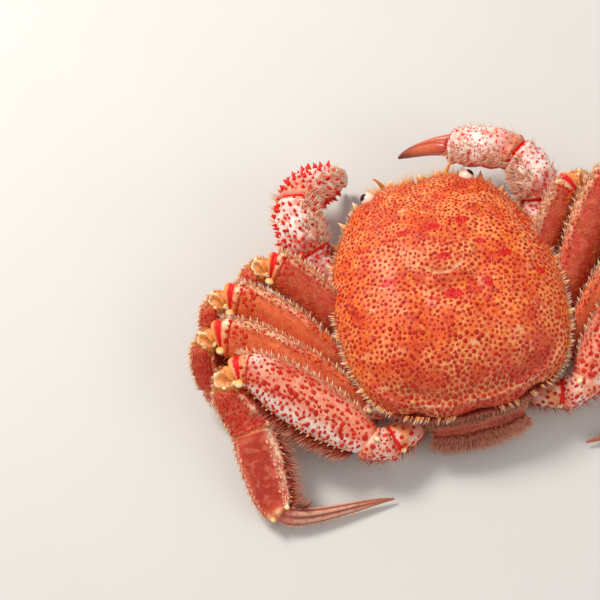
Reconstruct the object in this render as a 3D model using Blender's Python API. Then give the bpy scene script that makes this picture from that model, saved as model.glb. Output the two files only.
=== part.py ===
"""A boiled horsehair crab, life size, resting on its belly with its legs folded round it.

Lengths are in millimetres and are turned to metres where a mesh is made. +X is the crab's right, +Y its
front and +Z up. The origin is the middle of the flat underside of the thorax. Places on a limb are
written as (outward, forward, up), so that one set of functions serves the left and the right side.
"""

import math
import random
from dataclasses import dataclass

import bmesh
import bpy
from mathutils import Vector
from mathutils.bvhtree import BVHTree

MM = 0.001
GAP = 0.3
SEED = 11
OBJECT_NAME = "horsehair_crab"
LEFT = -1
RIGHT = 1
SOLVERS = ("EXACT", "MANIFOLD")

# Back shell: margin of one half, from the middle of the brow round to the middle of the rear
MARGIN = (
    (0.0, 60.0), (15.0, 60.5), (22.0, 57.5), (29.0, 54.0), (35.5, 45.5), (42.5, 33.0), (46.5, 21.0),
    (48.5, 9.0), (48.5, -8.0), (45.5, -24.0), (39.0, -36.0), (21.0, -45.0), (0.0, -47.0),
)
SHELL_CENTRE = 4.0
SHELL_TOP = 53.0
MARGIN_HEIGHT = 34.0
REAR_HEIGHT = 28.5
SHELL_UNDERSIDE = 24.15
SHELL_SIDES = 48
DOME_RINGS = (0.22, 0.42, 0.58, 0.72, 0.83, 0.91, 0.965)
WALL_RINGS = ((1.0, 0.0), (0.98, 0.3), (0.89, 0.7), (0.8, 1.0))
DOME_FLATNESS = 2.3
DOME_FULLNESS = 0.72

# Thorax, from the belly up, as (height, half width, front, rear)
THORAX_LEVELS = (
    (0.0, 21.0, 27.0, -36.0), (2.0, 24.5, 32.0, -40.0), (9.0, 28.5, 41.0, -44.5), (17.0, 31.0, 46.5, -45.0),
    (23.85, 33.0, 49.0, -41.0),
)
THORAX_SIDES = 28
THORAX_SQUARENESS = 2.6

# Tail flap: outer line behind the body as (forward, up, half width), and the tongue under the belly
TAIL_LINE = (
    (-30.0, 20.2, 19.0), (-44.5, 20.4, 20.5), (-49.5, 16.5, 19.5), (-50.0, 10.0, 16.5), (-46.5, 5.0, 13.0),
    (-42.0, 3.4, 11.0),
)
TAIL_HALF_THICKNESS = 3.3
TONGUE_HALF_WIDTH = 10.5
TONGUE_TIP_HALF_WIDTH = 4.5
TONGUE_REAR = -45.0
TONGUE_TIP = -12.0
TONGUE_DEPTH = 3.4

# Head
EYE = ((15.5, 54.5, 30.5), (18.6, 55.8, 31.6), (20.6, 56.7, 32.8), (22.3, 57.5, 34.0), (23.9, 58.2, 35.3),
       (24.7, 58.6, 36.0))
EYE_RADII = (1.8, 2.0, 3.1, 3.5, 2.8, 1.3)
ANTENNA = ((12.5, 54.5, 28.5), (13.5, 61.5, 30.0), (15.5, 64.0, 34.0), (18.0, 64.5, 39.0))
ANTENNA_RADII = (1.9, 1.4, 0.8, 0.35)
MOUTH_PLATE = ((7.6, 34.0, 5.0), (7.6, 41.5, 13.0), (7.2, 46.5, 21.6))
MOUTH_PLATE_HALF_WIDTHS = (4.6, 6.9, 6.0)
MOUTH_PLATE_HALF_THICKNESS = 3.2

# Sections along a limb, as (fraction of its length, back reach, belly reach, half thickness); the last
# three are shares of the limb's half width and half thickness
COXA = ((0.0, 0.55, 0.55, 1.1), (0.45, 0.56, 0.58, 1.1), (0.75, 0.54, 0.6, 1.08), (1.0, 0.58, 0.64, 0.98))
MERUS = (
    (0.0, 0.56, 0.62, 0.95), (0.1, 0.7, 0.82, 0.98), (0.28, 0.9, 1.0, 1.0), (0.48, 1.0, 1.0, 1.0),
    (0.62, 0.99, 0.82, 1.0), (0.74, 0.94, 0.56, 1.02), (0.9, 0.82, 0.33, 1.04), (1.0, 0.66, 0.3, 1.0),
)
CARPUS = ((0.0, 0.64, 0.3, 1.0), (0.25, 0.76, 0.31, 1.04), (0.6, 0.8, 0.6, 1.0), (1.0, 0.76, 0.72, 0.92))
PROPODUS = (
    (0.0, 0.74, 0.72, 0.9), (0.2, 0.8, 0.8, 0.94), (0.5, 0.78, 0.78, 0.9), (0.8, 0.64, 0.62, 0.8),
    (1.0, 0.46, 0.44, 0.7),
)
DACTYLUS = (
    (0.0, 0.4, 0.4, 0.62), (0.12, 0.42, 0.42, 0.64), (0.45, 0.32, 0.3, 0.5), (0.8, 0.17, 0.16, 0.28),
    (1.0, 0.04, 0.04, 0.08),
)
LEG_SIDES = 10


@dataclass(frozen=True)
class WalkingLeg:
    """Places and sizes of one walking leg; folds are (turn in the leg's plane, lean out of it) in degrees."""

    name: str
    side: int
    root: tuple
    hip: tuple
    knee: tuple
    face: tuple
    half_width: float
    belly_share: float
    half_thickness: float
    folds: tuple
    lengths: tuple


MIDDLE_FACE = (0.30, -0.67, 0.68)
REAR_FACE = (0.18, -0.525, 0.83)
TIGHT_FACE = (0.47, -0.72, 0.50)
MIDDLE_FOLD = ((112.0, 0.0), (164.0, 0.0), (211.0, 0.0))
TIGHT_FOLD = ((120.0, -5.0), (166.0, -3.0), (206.0, 10.0))
REAR_FOLD = ((130.0, 0.0), (137.0, 11.0), (210.0, -14.0))
LEGS = (
    WalkingLeg("leg_2", LEFT, (22, 9, 12), (42, -2.2, 18.5), (71.2, 31.8, 42), MIDDLE_FACE, 10.0, 0.8, 4.5,
               MIDDLE_FOLD, (19, 30, 30)),
    WalkingLeg("leg_3", LEFT, (23, -6, 12), (49, -16, 19), (91.3, 22.9, 39), MIDDLE_FACE, 10.5, 0.62, 4.4,
               MIDDLE_FOLD, (20, 32, 34)),
    WalkingLeg("leg_4", LEFT, (22, -18.5, 12), (47, -31, 19), (99.4, 8.6, 34.7), MIDDLE_FACE, 11.0, 0.5, 4.0,
               MIDDLE_FOLD, (21, 33, 38)),
    WalkingLeg("leg_5", LEFT, (19, -32, 12), (47.5, -45.8, 21), (95.1, -9.4, 33), REAR_FACE, 11.8, 1.03, 4.7,
               REAR_FOLD, (24, 37, 48)),
    WalkingLeg("leg_2", RIGHT, (22, 9, 12), (39, 5, 16.9), (63.1, 38.2, 42), TIGHT_FACE, 9.0, 0.85, 4.4,
               TIGHT_FOLD, (18, 28, 28)),
    WalkingLeg("leg_3", RIGHT, (23, -5, 12), (48.2, -12.6, 18.6), (83.2, 38, 40), MIDDLE_FACE, 10.5, 0.62,
               4.4, MIDDLE_FOLD, (20, 32, 34)),
    WalkingLeg("leg_4", RIGHT, (22, -17.5, 12), (47, -27.5, 19), (99.2, 12.6, 34.7), MIDDLE_FACE, 11.0, 0.5,
               4.0, MIDDLE_FOLD, (21, 33, 38)),
    WalkingLeg("leg_5", RIGHT, (19, -31, 12), (48.5, -41.5, 21), (96.5, -4.7, 33), REAR_FACE, 11.8, 1.03, 4.7,
               REAR_FOLD, (24, 37, 48)),
)
UNDER_THE_MARGIN = ("left_leg_2_merus", "right_leg_2_merus")
MERUS_ARCH = 0.2
KNEE_SHARE = 0.46
CARPUS_SHARE = 0.55
FOOT_SHARE = 0.5
LEG_SLACKS = ((1.0, 1.0), (1.0, 0.3), (0.9, 0.9), (0.5, 0.5), (0.6, 1.0))


@dataclass(frozen=True)
class ClawLeg:
    """Places and sizes of one claw leg, from its root in the thorax to the tips of its fingers."""

    side: int
    root: tuple
    hip: tuple
    elbow: tuple
    wrist: tuple
    palm_end: tuple
    tip: tuple
    face: tuple


CLAWS = (
    ClawLeg(LEFT, (20, 22, 12), (37, 23, 17), (53, 41, 30), (53, 61, 39), (38, 76, 25), (30, 81, 4.5),
            (0.3, 0.75, 0.6)),
    ClawLeg(RIGHT, (20, 24, 12), (37, 24, 17), (51, 41, 30), (45, 60, 39), (20, 74, 35), (-3, 79, 25),
            (0.2, 0.7, 0.7)),
)
CLAW_COXA = ((0.0, 6.0, 6.0, 6.0), (0.5, 6.2, 6.2, 6.2), (1.0, 6.6, 6.2, 5.8))
CLAW_MERUS = ((0.0, 7.0, 6.4, 6.0), (0.3, 8.2, 7.2, 7.0), (0.7, 9.2, 8.0, 8.0), (1.0, 8.0, 7.4, 7.6))
CLAW_CARPUS = ((0.0, 8.2, 7.6, 7.6), (0.3, 10.2, 8.6, 9.0), (0.7, 10.0, 8.6, 9.0), (1.0, 7.6, 7.2, 7.0))
CLAW_PALM = ((0.0, 7.6, 7.4, 6.6), (0.2, 9.2, 8.6, 7.6), (0.6, 10.4, 9.6, 8.0), (1.0, 9.2, 8.8, 6.6))
FINGER = ((0.0, 4.1, 4.1, 4.0), (0.3, 3.4, 3.4, 3.6), (0.7, 2.0, 2.0, 2.3), (1.0, 0.5, 0.5, 0.5))
FINGER_SPREAD = 4.9
FINGER_TIP_SPREAD = 1.5
FIXED_FINGER_SET_OFF = 0.4
FINGER_SET_OFF = 1.0
CLAW_SLACK = (0.8, 0.8)
FINGER_SLACK = (0.8, 0.6)
CLAW_SIDES = 10

# What grows from the shell; a row is (first share, last share, turn round the limb in degrees, count)
CLEAR = 0.35
ROOT_DEPTH = 1.7
BROW = 60.5
BROW_TEETH = (4.2, 11.5)
BROW_TOOTH_DROP = 0.14
BROW_TOOTH_LENGTH = 3.4
MARGIN_TEETH = (29.0, 39.0, 49.5, 60.0, 71.0, 83.0, 97.0, 111.0, 125.0)
MARGIN_TOOTH_DROP = 0.17
MARGIN_TOOTH_LENGTH = 4.2
REAR_TOOTH_SHARE = 0.75
MARGIN_TOOTH_RADIUS = 2.1
TUBERCLE_DRAWS = 1500
TUBERCLE_AREA = 0.86
TUBERCLE_SPREAD = (90, 110)
TUBERCLE_SPACING = 8.0
TUBERCLE_RADIUS = 1.3
TUBERCLE_HEIGHT = 1.2
BRISTLES = 40
BRISTLE_DROPS = (0.12, 0.4)
BRISTLE_LENGTH = 3.4
BRISTLE_RADIUS = 0.55
SPINE_LENGTH = 2.6
SPINE_RADIUS = 0.95
CLAW_SPINE_RADIUS = SPINE_RADIUS * 1.15
LEG_SPINES = {"merus": (0.2, 0.7, 0.0, 4), "carpus": (0.35, 0.8, 8.0, 2), "propodus": (0.15, 0.75, 4.0, 3)}
LEG_LOCKS = {
    "merus": (0.16, 0.46, 180.0, 3), "propodus": (0.2, 0.75, 180.0, 3), "dactylus": (0.16, 0.26, 180.0, 1),
}
CLAW_SPINES = {
    "merus": ((0.35, 0.8, 10.0, 3),), "carpus": ((0.2, 0.85, 20.0, 3), (0.25, 0.8, 75.0, 3)),
    "palm": ((0.15, 0.85, 15.0, 4), (0.2, 0.8, 70.0, 3)),
}
CLAW_LOCKS = {"carpus": ((0.3, 0.8, -40.0, 2),), "palm": ((0.2, 0.85, -25.0, 4),)}
LOCK_LENGTH = 5.6
LOCK_HALF_WIDTH = 1.5
LOCK_HALF_THICKNESS = 0.55
TAIL_LOCKS = 9
TAIL_LOCK_REACH = 15.5
TAIL_LOCK_REAR = -52.4
TAIL_LOCK_HEIGHT = 13.0
TAIL_LOCK_WAVE = 1.4
REAR_LOCKS = 8
REAR_LOCK_ARC = 36
REAR_LOCK_DROP = 0.3

# Colours of the boiled shell as linear red, green, blue
SHELL_ORANGE = (0.72, 0.17, 0.05, 1.0)
SHELL_RED = (0.55, 0.05, 0.03, 1.0)
CREAM = (0.82, 0.55, 0.30, 1.0)
DARK_EYE = (0.02, 0.012, 0.01, 1.0)
CLAW_BROWN = (0.22, 0.05, 0.03, 1.0)


def clear_scene():
    """Remove every object that the scene holds."""
    for thing in list(bpy.data.objects):
        bpy.data.objects.remove(thing, do_unlink=True)


def new_collection(name):
    collection = bpy.data.collections.new(name)
    bpy.context.scene.collection.children.link(collection)
    return collection


def new_material(name, colour, roughness):
    material = bpy.data.materials.new(name)
    material.use_nodes = True
    shader = material.node_tree.nodes["Principled BSDF"]
    shader.inputs["Base Color"].default_value = colour
    shader.inputs["Roughness"].default_value = roughness
    shader.inputs["Metallic"].default_value = 0.0
    return material


def smooth_step(low, high, value):
    share = min(1.0, max(0.0, (value - low) / (high - low)))
    return share * share * (3.0 - 2.0 * share)


def smooth_through(knots, value):
    """Read a smooth curve through (place, height) knots at one place."""
    last = len(knots) - 2
    i = max(0, min(last, sum(1 for knot in knots if knot[0] <= value) - 1))
    (x0, y0), (x1, y1) = knots[i], knots[i + 1]
    before = knots[max(0, i - 1)]
    after = knots[min(len(knots) - 1, i + 2)]
    span = x1 - x0
    rise0 = (y1 - before[1]) / (x1 - before[0]) * span
    rise1 = (after[1] - y0) / (after[0] - x0) * span
    t = (value - x0) / span
    return hermite(y0, y1, rise0, rise1, t)


def hermite(start, end, start_pull, end_pull, t):
    """Point of a cubic curve between two ends with the given pulls; works on numbers and vectors."""
    t2 = t * t
    t3 = t2 * t
    return (
        start * (2 * t3 - 3 * t2 + 1) + start_pull * (t3 - 2 * t2 + t)
        + end * (3 * t2 - 2 * t3) + end_pull * (t3 - t2)
    )


def loft(name, rings, collection, material, side=RIGHT):
    """Close a skin over rings of points in millimetres; a ring of one point is a pole."""
    shape = bmesh.new()
    rows = [[shape.verts.new((p[0] * side * MM, p[1] * MM, p[2] * MM)) for p in ring] for ring in rings]
    for row, after in zip(rows, rows[1:]):
        count = max(len(row), len(after))
        for k in range(count):
            corners = [row[k % len(row)], row[(k + 1) % len(row)]]
            corners += [after[(k + 1) % len(after)], after[k % len(after)]]
            shape.faces.new(tuple(dict.fromkeys(corners)))
    for row in (rows[0], rows[-1]):
        if len(row) > 1:
            shape.faces.new(row)
    bmesh.ops.recalc_face_normals(shape, faces=shape.faces)
    return mesh_object(name, shape, collection, material)


def mesh_object(name, shape, collection, material=None):
    mesh = bpy.data.meshes.new(name)
    shape.to_mesh(mesh)
    shape.free()
    made = bpy.data.objects.new(name, mesh)
    if material is not None:
        mesh.materials.append(material)
    collection.objects.link(made)
    return made


def as_guide(thing):
    """Mark an object as a cutter that is no part of the model."""
    thing.hide_render = True
    thing.display_type = "WIRE"
    return thing


def apply_boolean(thing, operation, other):
    """Cut or join with another object or a whole collection, and keep only the largest closed surface."""
    for solver in SOLVERS:
        shape = boolean_result(thing, operation, other, solver)
        if all(edge.is_manifold for edge in shape.edges):
            break
    drop_scraps(shape)
    shape.to_mesh(thing.data)
    shape.free()


def boolean_result(thing, operation, other, solver):
    step = thing.modifiers.new(operation.lower(), "BOOLEAN")
    step.operation = operation
    step.solver = solver
    if isinstance(other, bpy.types.Collection):
        step.operand_type = "COLLECTION"
        step.collection = other
    else:
        step.object = other
    graph = bpy.context.evaluated_depsgraph_get()
    cut = thing.evaluated_get(graph)
    shape = bmesh.new()
    shape.from_mesh(cut.to_mesh())
    cut.to_mesh_clear()
    thing.modifiers.clear()
    bmesh.ops.connect_verts_concave(shape, faces=shape.faces)
    bmesh.ops.triangulate(shape, faces=shape.faces)
    return shape


def drop_scraps(shape):
    """Keep only the largest of a mesh's closed surfaces."""
    waiting = set(shape.verts)
    islands = []
    while waiting:
        stack = [waiting.pop()]
        island = list(stack)
        while stack:
            for edge in stack.pop().link_edges:
                for vert in edge.verts:
                    if vert in waiting:
                        waiting.remove(vert)
                        stack.append(vert)
                        island.append(vert)
        islands.append(island)
    if len(islands) > 1:
        biggest = max(islands, key=spread)
        loose = [vert for island in islands if island is not biggest for vert in island]
        bmesh.ops.delete(shape, geom=loose, context="VERTS")


def spread(verts):
    """Diagonal of the box round some vertices."""
    corners = [[vert.co[axis] for vert in verts] for axis in range(3)]
    return math.dist([min(c) for c in corners], [max(c) for c in corners])


def oval(centre, along, face, back, belly, half, sides):
    """Ring of points across a limb; back and belly reach to its two edges, half to its two faces."""
    thin, edge = cross_axes(along, face)
    ring = []
    for k in range(sides):
        turn = 2.0 * math.pi * k / sides
        reach = back if math.cos(turn) > 0 else belly
        ring.append(centre + edge * (math.cos(turn) * reach) + thin * (math.sin(turn) * half))
    return ring


def cross_axes(along, face):
    """Axes across a limb: out of its broad face, and towards its back edge."""
    thin = (face - along * face.dot(along)).normalized()
    return thin, thin.cross(along).normalized()


@dataclass
class Segment:
    """One piece of a limb: a bent bar between two joints, with oval sections."""

    start: Vector
    end: Vector
    start_way: Vector
    end_way: Vector
    face: Vector
    sections: tuple
    sides: int
    side: int
    slack: tuple = (1.0, 0.5)

    def middle(self, t):
        """Point of the middle line and the direction there."""
        pull = (self.end - self.start).length
        first, last = self.slack
        ends = (self.start, self.end, self.start_way * pull * first, self.end_way * pull * last)
        here = hermite(*ends, t)
        step = 0.01
        return here, (hermite(*ends, min(1.0, t + step)) - hermite(*ends, max(0.0, t - step))).normalized()

    def reach(self, t):
        """Back reach, belly reach and half thickness at a share of the length."""
        for low, high in zip(self.sections, self.sections[1:]):
            if t <= high[0]:
                share = (t - low[0]) / (high[0] - low[0])
                return tuple(a + (b - a) * share for a, b in zip(low[1:], high[1:]))
        return self.sections[-1][1:]

    def rings(self):
        rings = []
        for t, *reach in self.sections:
            here, way = self.middle(t)
            rings.append(oval(here, way, self.face, *reach, self.sides))
        return rings

    def skin(self, t, degrees):
        """Point on the surface at a turn from the back edge to the outer face, its normal and the lie."""
        here, way = self.middle(t)
        thin, edge = cross_axes(way, self.face)
        back, belly, half = self.reach(t)
        across, up = math.cos(math.radians(degrees)), math.sin(math.radians(degrees))
        reach = back if across > 0 else belly
        place = here + edge * (across * reach) + thin * (up * half)
        normal = (edge * (across / reach) + thin * (up / half)).normalized()
        return [Vector((v.x * self.side, v.y, v.z)) for v in (place, normal, way)]


def scaled(sections, back, belly, half):
    return tuple((t, b * back, v * belly, h * half) for t, b, v, h in sections)


def unit(vector):
    return Vector(vector).normalized()


def walking_leg_segments(leg):
    """Lay out the five segments of a folded walking leg."""
    root, hip, knee = Vector(leg.root), Vector(leg.hip), Vector(leg.knee)
    along = (knee - hip).normalized()
    thin, back = cross_axes(along, unit(leg.face))
    points = [knee]
    ways = []
    for (turn, lean), length in zip(leg.folds, leg.lengths):
        angle, out = math.radians(turn), math.radians(lean)
        way = (along * math.cos(angle) - back * math.sin(angle)) * math.cos(out) + thin * math.sin(out)
        ways.append(way.normalized())
        points.append(points[-1] + way.normalized() * length)
    hip_way = (along + back * MERUS_ARCH).normalized()
    first = ((hip - root).normalized() * 2.0 - hip_way).normalized()
    knee_way = turned(along, ways[0], KNEE_SHARE)
    carpus_way = turned(ways[0], ways[1], CARPUS_SHARE)
    foot_way = turned(ways[1], ways[2], FOOT_SHARE)
    joints = [root, hip, *points]
    joint_ways = [first, hip_way, knee_way, carpus_way, foot_way, ways[2]]
    names = ("coxa", "merus", "carpus", "propodus", "dactylus")
    shapes = (COXA, MERUS, CARPUS, PROPODUS, DACTYLUS)
    belly = leg.half_width * leg.belly_share
    made = {}
    for i, name in enumerate(names):
        shape = scaled(shapes[i], leg.half_width, belly, leg.half_thickness)
        start = joints[i] + joint_ways[i] * (GAP / 2 if i else 0.0)
        end = joints[i + 1] - joint_ways[i + 1] * (GAP / 2 if i < 4 else 0.0)
        made[name] = Segment(start, end, joint_ways[i], joint_ways[i + 1], unit(leg.face), shape, LEG_SIDES,
                             leg.side, LEG_SLACKS[i])
    return made


def turned(way, target, share):
    """Direction part of the way from one direction to another."""
    return way.slerp(target, share).normalized()


def claw_segments(claw):
    """Lay out a claw leg: four segments up to the palm, and the two fingers."""
    places = [Vector(p) for p in (claw.root, claw.hip, claw.elbow, claw.wrist, claw.palm_end)]
    tip = Vector(claw.tip)
    runs = [(b - a).normalized() for a, b in zip(places, places[1:])]
    ways = [runs[0], (runs[0] + runs[1]).normalized(), (runs[1] + runs[2]).normalized(),
            (runs[2] + runs[3]).normalized(), runs[3]]
    shapes = (CLAW_COXA, CLAW_MERUS, CLAW_CARPUS, CLAW_PALM)
    face = unit(claw.face)
    made = {}
    for i, name in enumerate(("coxa", "merus", "carpus", "palm")):
        start = places[i] + ways[i] * (GAP / 2 if i else 0.0)
        end = places[i + 1] - ways[i + 1] * (GAP / 2 if i < 3 else 0.0)
        made[name] = Segment(start, end, ways[i], ways[i + 1], face, shapes[i], CLAW_SIDES, claw.side,
                             CLAW_SLACK)
    reach = tip - places[4]
    forward = runs[3]
    back = cross_axes(forward, face)[1]
    end_way = (reach.normalized() * 2 - forward).normalized()
    for name, sign, set_off in (("fixed_finger", -1, FIXED_FINGER_SET_OFF), ("finger", 1, FINGER_SET_OFF)):
        start = places[4] + back * FINGER_SPREAD * sign + forward * set_off
        end = tip + back * FINGER_TIP_SPREAD * sign
        made[name] = Segment(start, end, forward, end_way, face, FINGER, CLAW_SIDES, claw.side, FINGER_SLACK)
    return made


def margin_radius(turn):
    """Distance from the shell's centre to its margin; turn is 0 at the brow and pi at the rear."""
    knots = [(math.atan2(x, y - SHELL_CENTRE), math.hypot(x, y - SHELL_CENTRE)) for x, y in MARGIN]
    return smooth_through(knots, abs(turn))


def margin_height(y):
    return REAR_HEIGHT + (MARGIN_HEIGHT - REAR_HEIGHT) * smooth_step(-46.0, 4.0, y)


def relief(x, y):
    """Low swellings of the back shell over the stomach, heart and gills, and the grooves between them."""
    x = abs(x)
    height = 1.2 * math.exp(-((x / 13) ** 2) - ((y - 24) / 13) ** 2)
    height += 1.0 * math.exp(-((x / 9) ** 2) - ((y + 14) / 9) ** 2)
    height += 0.8 * math.exp(-(((x - 27) / 12) ** 2) - ((y + 9) / 16) ** 2)
    height -= 1.3 * math.exp(-(((math.hypot(x, y - 18) - 19) / 3.5) ** 2)) * smooth_step(16, 4, y)
    height -= 1.0 * math.exp(-(((x - 12) / 3.0) ** 2)) * smooth_step(-30, -22, y) * smooth_step(4, -4, y)
    return height


def shell_point(turn, share, grow=0.0):
    """Point on the upper side of the back shell at a share of the way out to the margin."""
    radius = margin_radius(turn) + grow
    x = math.sin(turn) * radius * share
    y = SHELL_CENTRE + math.cos(turn) * radius * share
    low = margin_height(SHELL_CENTRE + math.cos(turn) * radius)
    bow = (1.0 - share ** DOME_FLATNESS) ** DOME_FULLNESS
    z = low + (SHELL_TOP - low) * bow + relief(x, y) * (1.0 - share ** 6) + grow
    rear = smooth_step(-18.0, -36.0, SHELL_CENTRE + math.cos(turn) * radius)
    z += rear * 1.3 * math.exp(-(((share - 0.965) / 0.03) ** 2))
    z -= rear * 1.0 * math.exp(-(((share - 0.89) / 0.035) ** 2))
    return Vector((x, y, z))


def shell_rings(grow=0.0):
    turns = [2.0 * math.pi * k / SHELL_SIDES for k in range(SHELL_SIDES)]
    turns = [turn if turn <= math.pi else turn - 2.0 * math.pi for turn in turns]
    rings = [[shell_point(0.0, 0.0, grow)]]
    rings += [[shell_point(turn, share, grow) for turn in turns] for share in DOME_RINGS]
    floor = SHELL_UNDERSIDE - grow
    for share, drop in WALL_RINGS:
        ring = []
        for turn in turns:
            edge = shell_point(turn, 1.0)
            radius = (margin_radius(turn) * share) + grow
            z = edge.z - drop * (edge.z - floor)
            ring.append(Vector((math.sin(turn) * radius, SHELL_CENTRE + math.cos(turn) * radius, z)))
        rings.append(ring)
    return rings


def thorax_rings(grow=0.0):
    rings = []
    for i, (height, half, front, rear) in enumerate(THORAX_LEVELS):
        z = height - grow if i == 0 else height + grow if i == len(THORAX_LEVELS) - 1 else height
        middle, depth = (front + rear) / 2, (front - rear) / 2 + grow
        ring = []
        for k in range(THORAX_SIDES):
            turn = 2.0 * math.pi * k / THORAX_SIDES
            power = 2.0 / THORAX_SQUARENESS
            x = math.copysign(abs(math.sin(turn)) ** power, math.sin(turn)) * (half + grow)
            y = middle + math.copysign(abs(math.cos(turn)) ** power, math.cos(turn)) * depth
            ring.append(Vector((x, y, z)))
        rings.append(ring)
    return rings


def tongue_rings(grow=0.0):
    """Rounded wedge under the belly, as two outlines one above the other."""
    outline = []
    for step in range(5):
        share = step / 4
        half = TONGUE_HALF_WIDTH + (TONGUE_TIP_HALF_WIDTH - TONGUE_HALF_WIDTH) * share
        outline.append((half + grow, TONGUE_REAR + (TONGUE_TIP - TONGUE_REAR) * share))
    outline.append((TONGUE_TIP_HALF_WIDTH * 0.55 + grow, TONGUE_TIP + TONGUE_TIP_HALF_WIDTH * 0.8))
    full = outline + [(-x, y) for x, y in reversed(outline)]
    # Grown, the room for the tongue is open to the rear and below
    front = [(x, y + grow) if y > TONGUE_TIP else (x, y) for x, y in full]
    full = [(x, y - 20.0 * grow) if y <= TONGUE_REAR else (x, y) for x, y in front]
    low = -4.0 * grow
    return [[Vector((x, y, z)) for x, y in full] for z in (low, TONGUE_DEPTH + grow)]


def path_rings(points, widths, halves, face, sides):
    """Rings along a free path of points, for the tail, a feeler or a mouth plate."""
    rings = []
    for i, point in enumerate(points):
        way = (points[min(i + 1, len(points) - 1)] - points[max(i - 1, 0)]).normalized()
        rings.append(oval(point, way, face(way), widths[i], widths[i], halves[i], sides))
    return rings


def tail_face(way):
    return Vector((0.0, way.z, -way.y))


def eye_rings(grow=0.0):
    """Stalk and bulb of an eye; grown, the room that they lie in."""
    points = [Vector(p) for p in EYE]
    inward = (points[0] - points[1]).normalized()
    points[0] += inward * grow
    radii = [radius + grow for radius in EYE_RADII]
    return path_rings(points, radii, radii, lambda way: Vector((0, 0, 1)), 12)


@dataclass
class Growth:
    """A spine, bristle or lock: a bent tapered rod from its sunk root to its tip."""

    path: list
    halves: list
    face: Vector

    def rings(self, sides):
        rings = []
        for i, point in enumerate(self.path[:-1]):
            way = (self.path[i + 1] - self.path[max(i - 1, 0)]).normalized()
            width, thickness = self.halves[i]
            rings.append(oval(point, way, self.face, width, width, thickness, sides))
        return rings + [[self.path[-1]]]

    def samples(self):
        """Places along the free part of the rod, with the reach there and the distance from the skin."""
        made = []
        walked = 0.0
        for i in range(1, len(self.path) - 1):
            start, end = self.path[i], self.path[i + 1]
            length = (end - start).length
            steps = max(2, math.ceil(length / 0.7))
            for k in range(steps if i < len(self.path) - 2 else steps + 1):
                share = k / steps
                after = self.halves[i + 1][0] if i + 1 < len(self.halves) else 0.0
                reach = self.halves[i][0] + (after - self.halves[i][0]) * share
                made.append((start.lerp(end, share), reach, walked + length * share))
            walked += length
        return made


def spine(place, normal, lie, length, radius):
    """Cone with a sunk root that leans a little along the lie."""
    way = (normal + lie * 0.35).normalized()
    path = [place - way * ROOT_DEPTH, place, place + way * length]
    return Growth(path, [(radius, radius), (radius * 0.92, radius * 0.92)], side_of(way))


def lock(place, normal, lie, length, half_width):
    """Flat tapered lock that leaves the skin and bends over along the lie."""
    way = (normal + lie * 0.3).normalized()
    bent = (normal + lie * 0.75).normalized()
    path = [place - way * ROOT_DEPTH, place, place + way * length * 0.5]
    path.append(path[-1] + bent * length * 0.5)
    thick = LOCK_HALF_THICKNESS
    halves = [(half_width * 0.7, thick), (half_width, thick * 1.1), (half_width * 0.85, thick)]
    return Growth(path, halves, lie.cross(normal).cross(way).normalized())


def side_of(way):
    """Any direction square to the given one."""
    helper = Vector((0, 0, 1)) if abs(way.z) < 0.8 else Vector((0, 1, 0))
    return way.cross(helper).normalized()


class Coat:
    """Sets spines, bristles and locks on the nodes, clear of one another and of every other node."""

    def __init__(self, things):
        self.things = things
        self.random = random.Random(SEED)
        self.grown = {}
        self.placed = []
        corners, faces, self.owners = [], [], []
        for name, thing in things.items():
            first = len(corners)
            corners += [vert.co / MM for vert in thing.data.vertices]
            for face in thing.data.polygons:
                faces.append([first + i for i in face.vertices])
                self.owners.append(name)
        self.tree = BVHTree.FromPolygons(corners, faces)

    def vary(self, spread_share):
        return 1.0 + self.random.uniform(-spread_share, spread_share)

    def is_clear(self, node, samples):
        for point, reach, walked in samples:
            if point.z - reach < CLEAR:
                return False
            for _, _, index, distance in self.tree.find_nearest_range(point, reach + CLEAR):
                if self.owners[index] != node:
                    return False
                if distance < min(walked * 0.4, reach * 0.4 + CLEAR) - 0.1:
                    return False
            for other, other_reach in self.placed:
                if (point - other).length < reach + other_reach + CLEAR:
                    return False
        return True

    def add(self, node, make, place, normal, lie, length, width, sides):
        """Grow a piece at its full length, or shorter where that is not clear, or not at all."""
        for share in (1.0, 0.8, 0.6):
            growth = make(place, normal, lie, length * share, width)
            samples = growth.samples()
            if self.is_clear(node, samples):
                self.placed += [(point, reach) for point, reach, _ in samples]
                self.grown.setdefault(node, []).append((growth, sides))
                return

    def join(self):
        """Fuse each node with what grows from it in one union."""
        for node, growths in self.grown.items():
            pieces = new_collection(f"{node}_growth")
            for growth, sides in growths:
                loft(f"{node}_growth", growth.rings(sides), pieces, self.things[node].data.materials[0])
            apply_boolean(self.things[node], "UNION", pieces)
            for piece in list(pieces.objects):
                bpy.data.objects.remove(piece, do_unlink=True)
            bpy.data.collections.remove(pieces)


def wall_point(turn, down):
    """Point on the wall below the margin of the back shell, at a share of the way down."""
    edge = shell_point(turn, 1.0)
    share = smooth_through([(drop, share) for share, drop in WALL_RINGS], down)
    x, y = edge.x * share, SHELL_CENTRE + (edge.y - SHELL_CENTRE) * share
    return Vector((x, y, edge.z - down * (edge.z - SHELL_UNDERSIDE)))


def margin_place(turn, down):
    """Point on the wall under the margin, its normal, and the way to the rear along it."""
    here = wall_point(turn, down)
    lie = (wall_point(turn + 0.02, down) - wall_point(turn - 0.02, down)).normalized()
    normal = (wall_point(turn, down - 0.04) - wall_point(turn, down + 0.04)).cross(lie).normalized()
    outward = here - Vector((0, SHELL_CENTRE, here.z))
    return here, normal if normal.dot(outward) > 0 else -normal, lie * math.copysign(1.0, turn)


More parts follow.
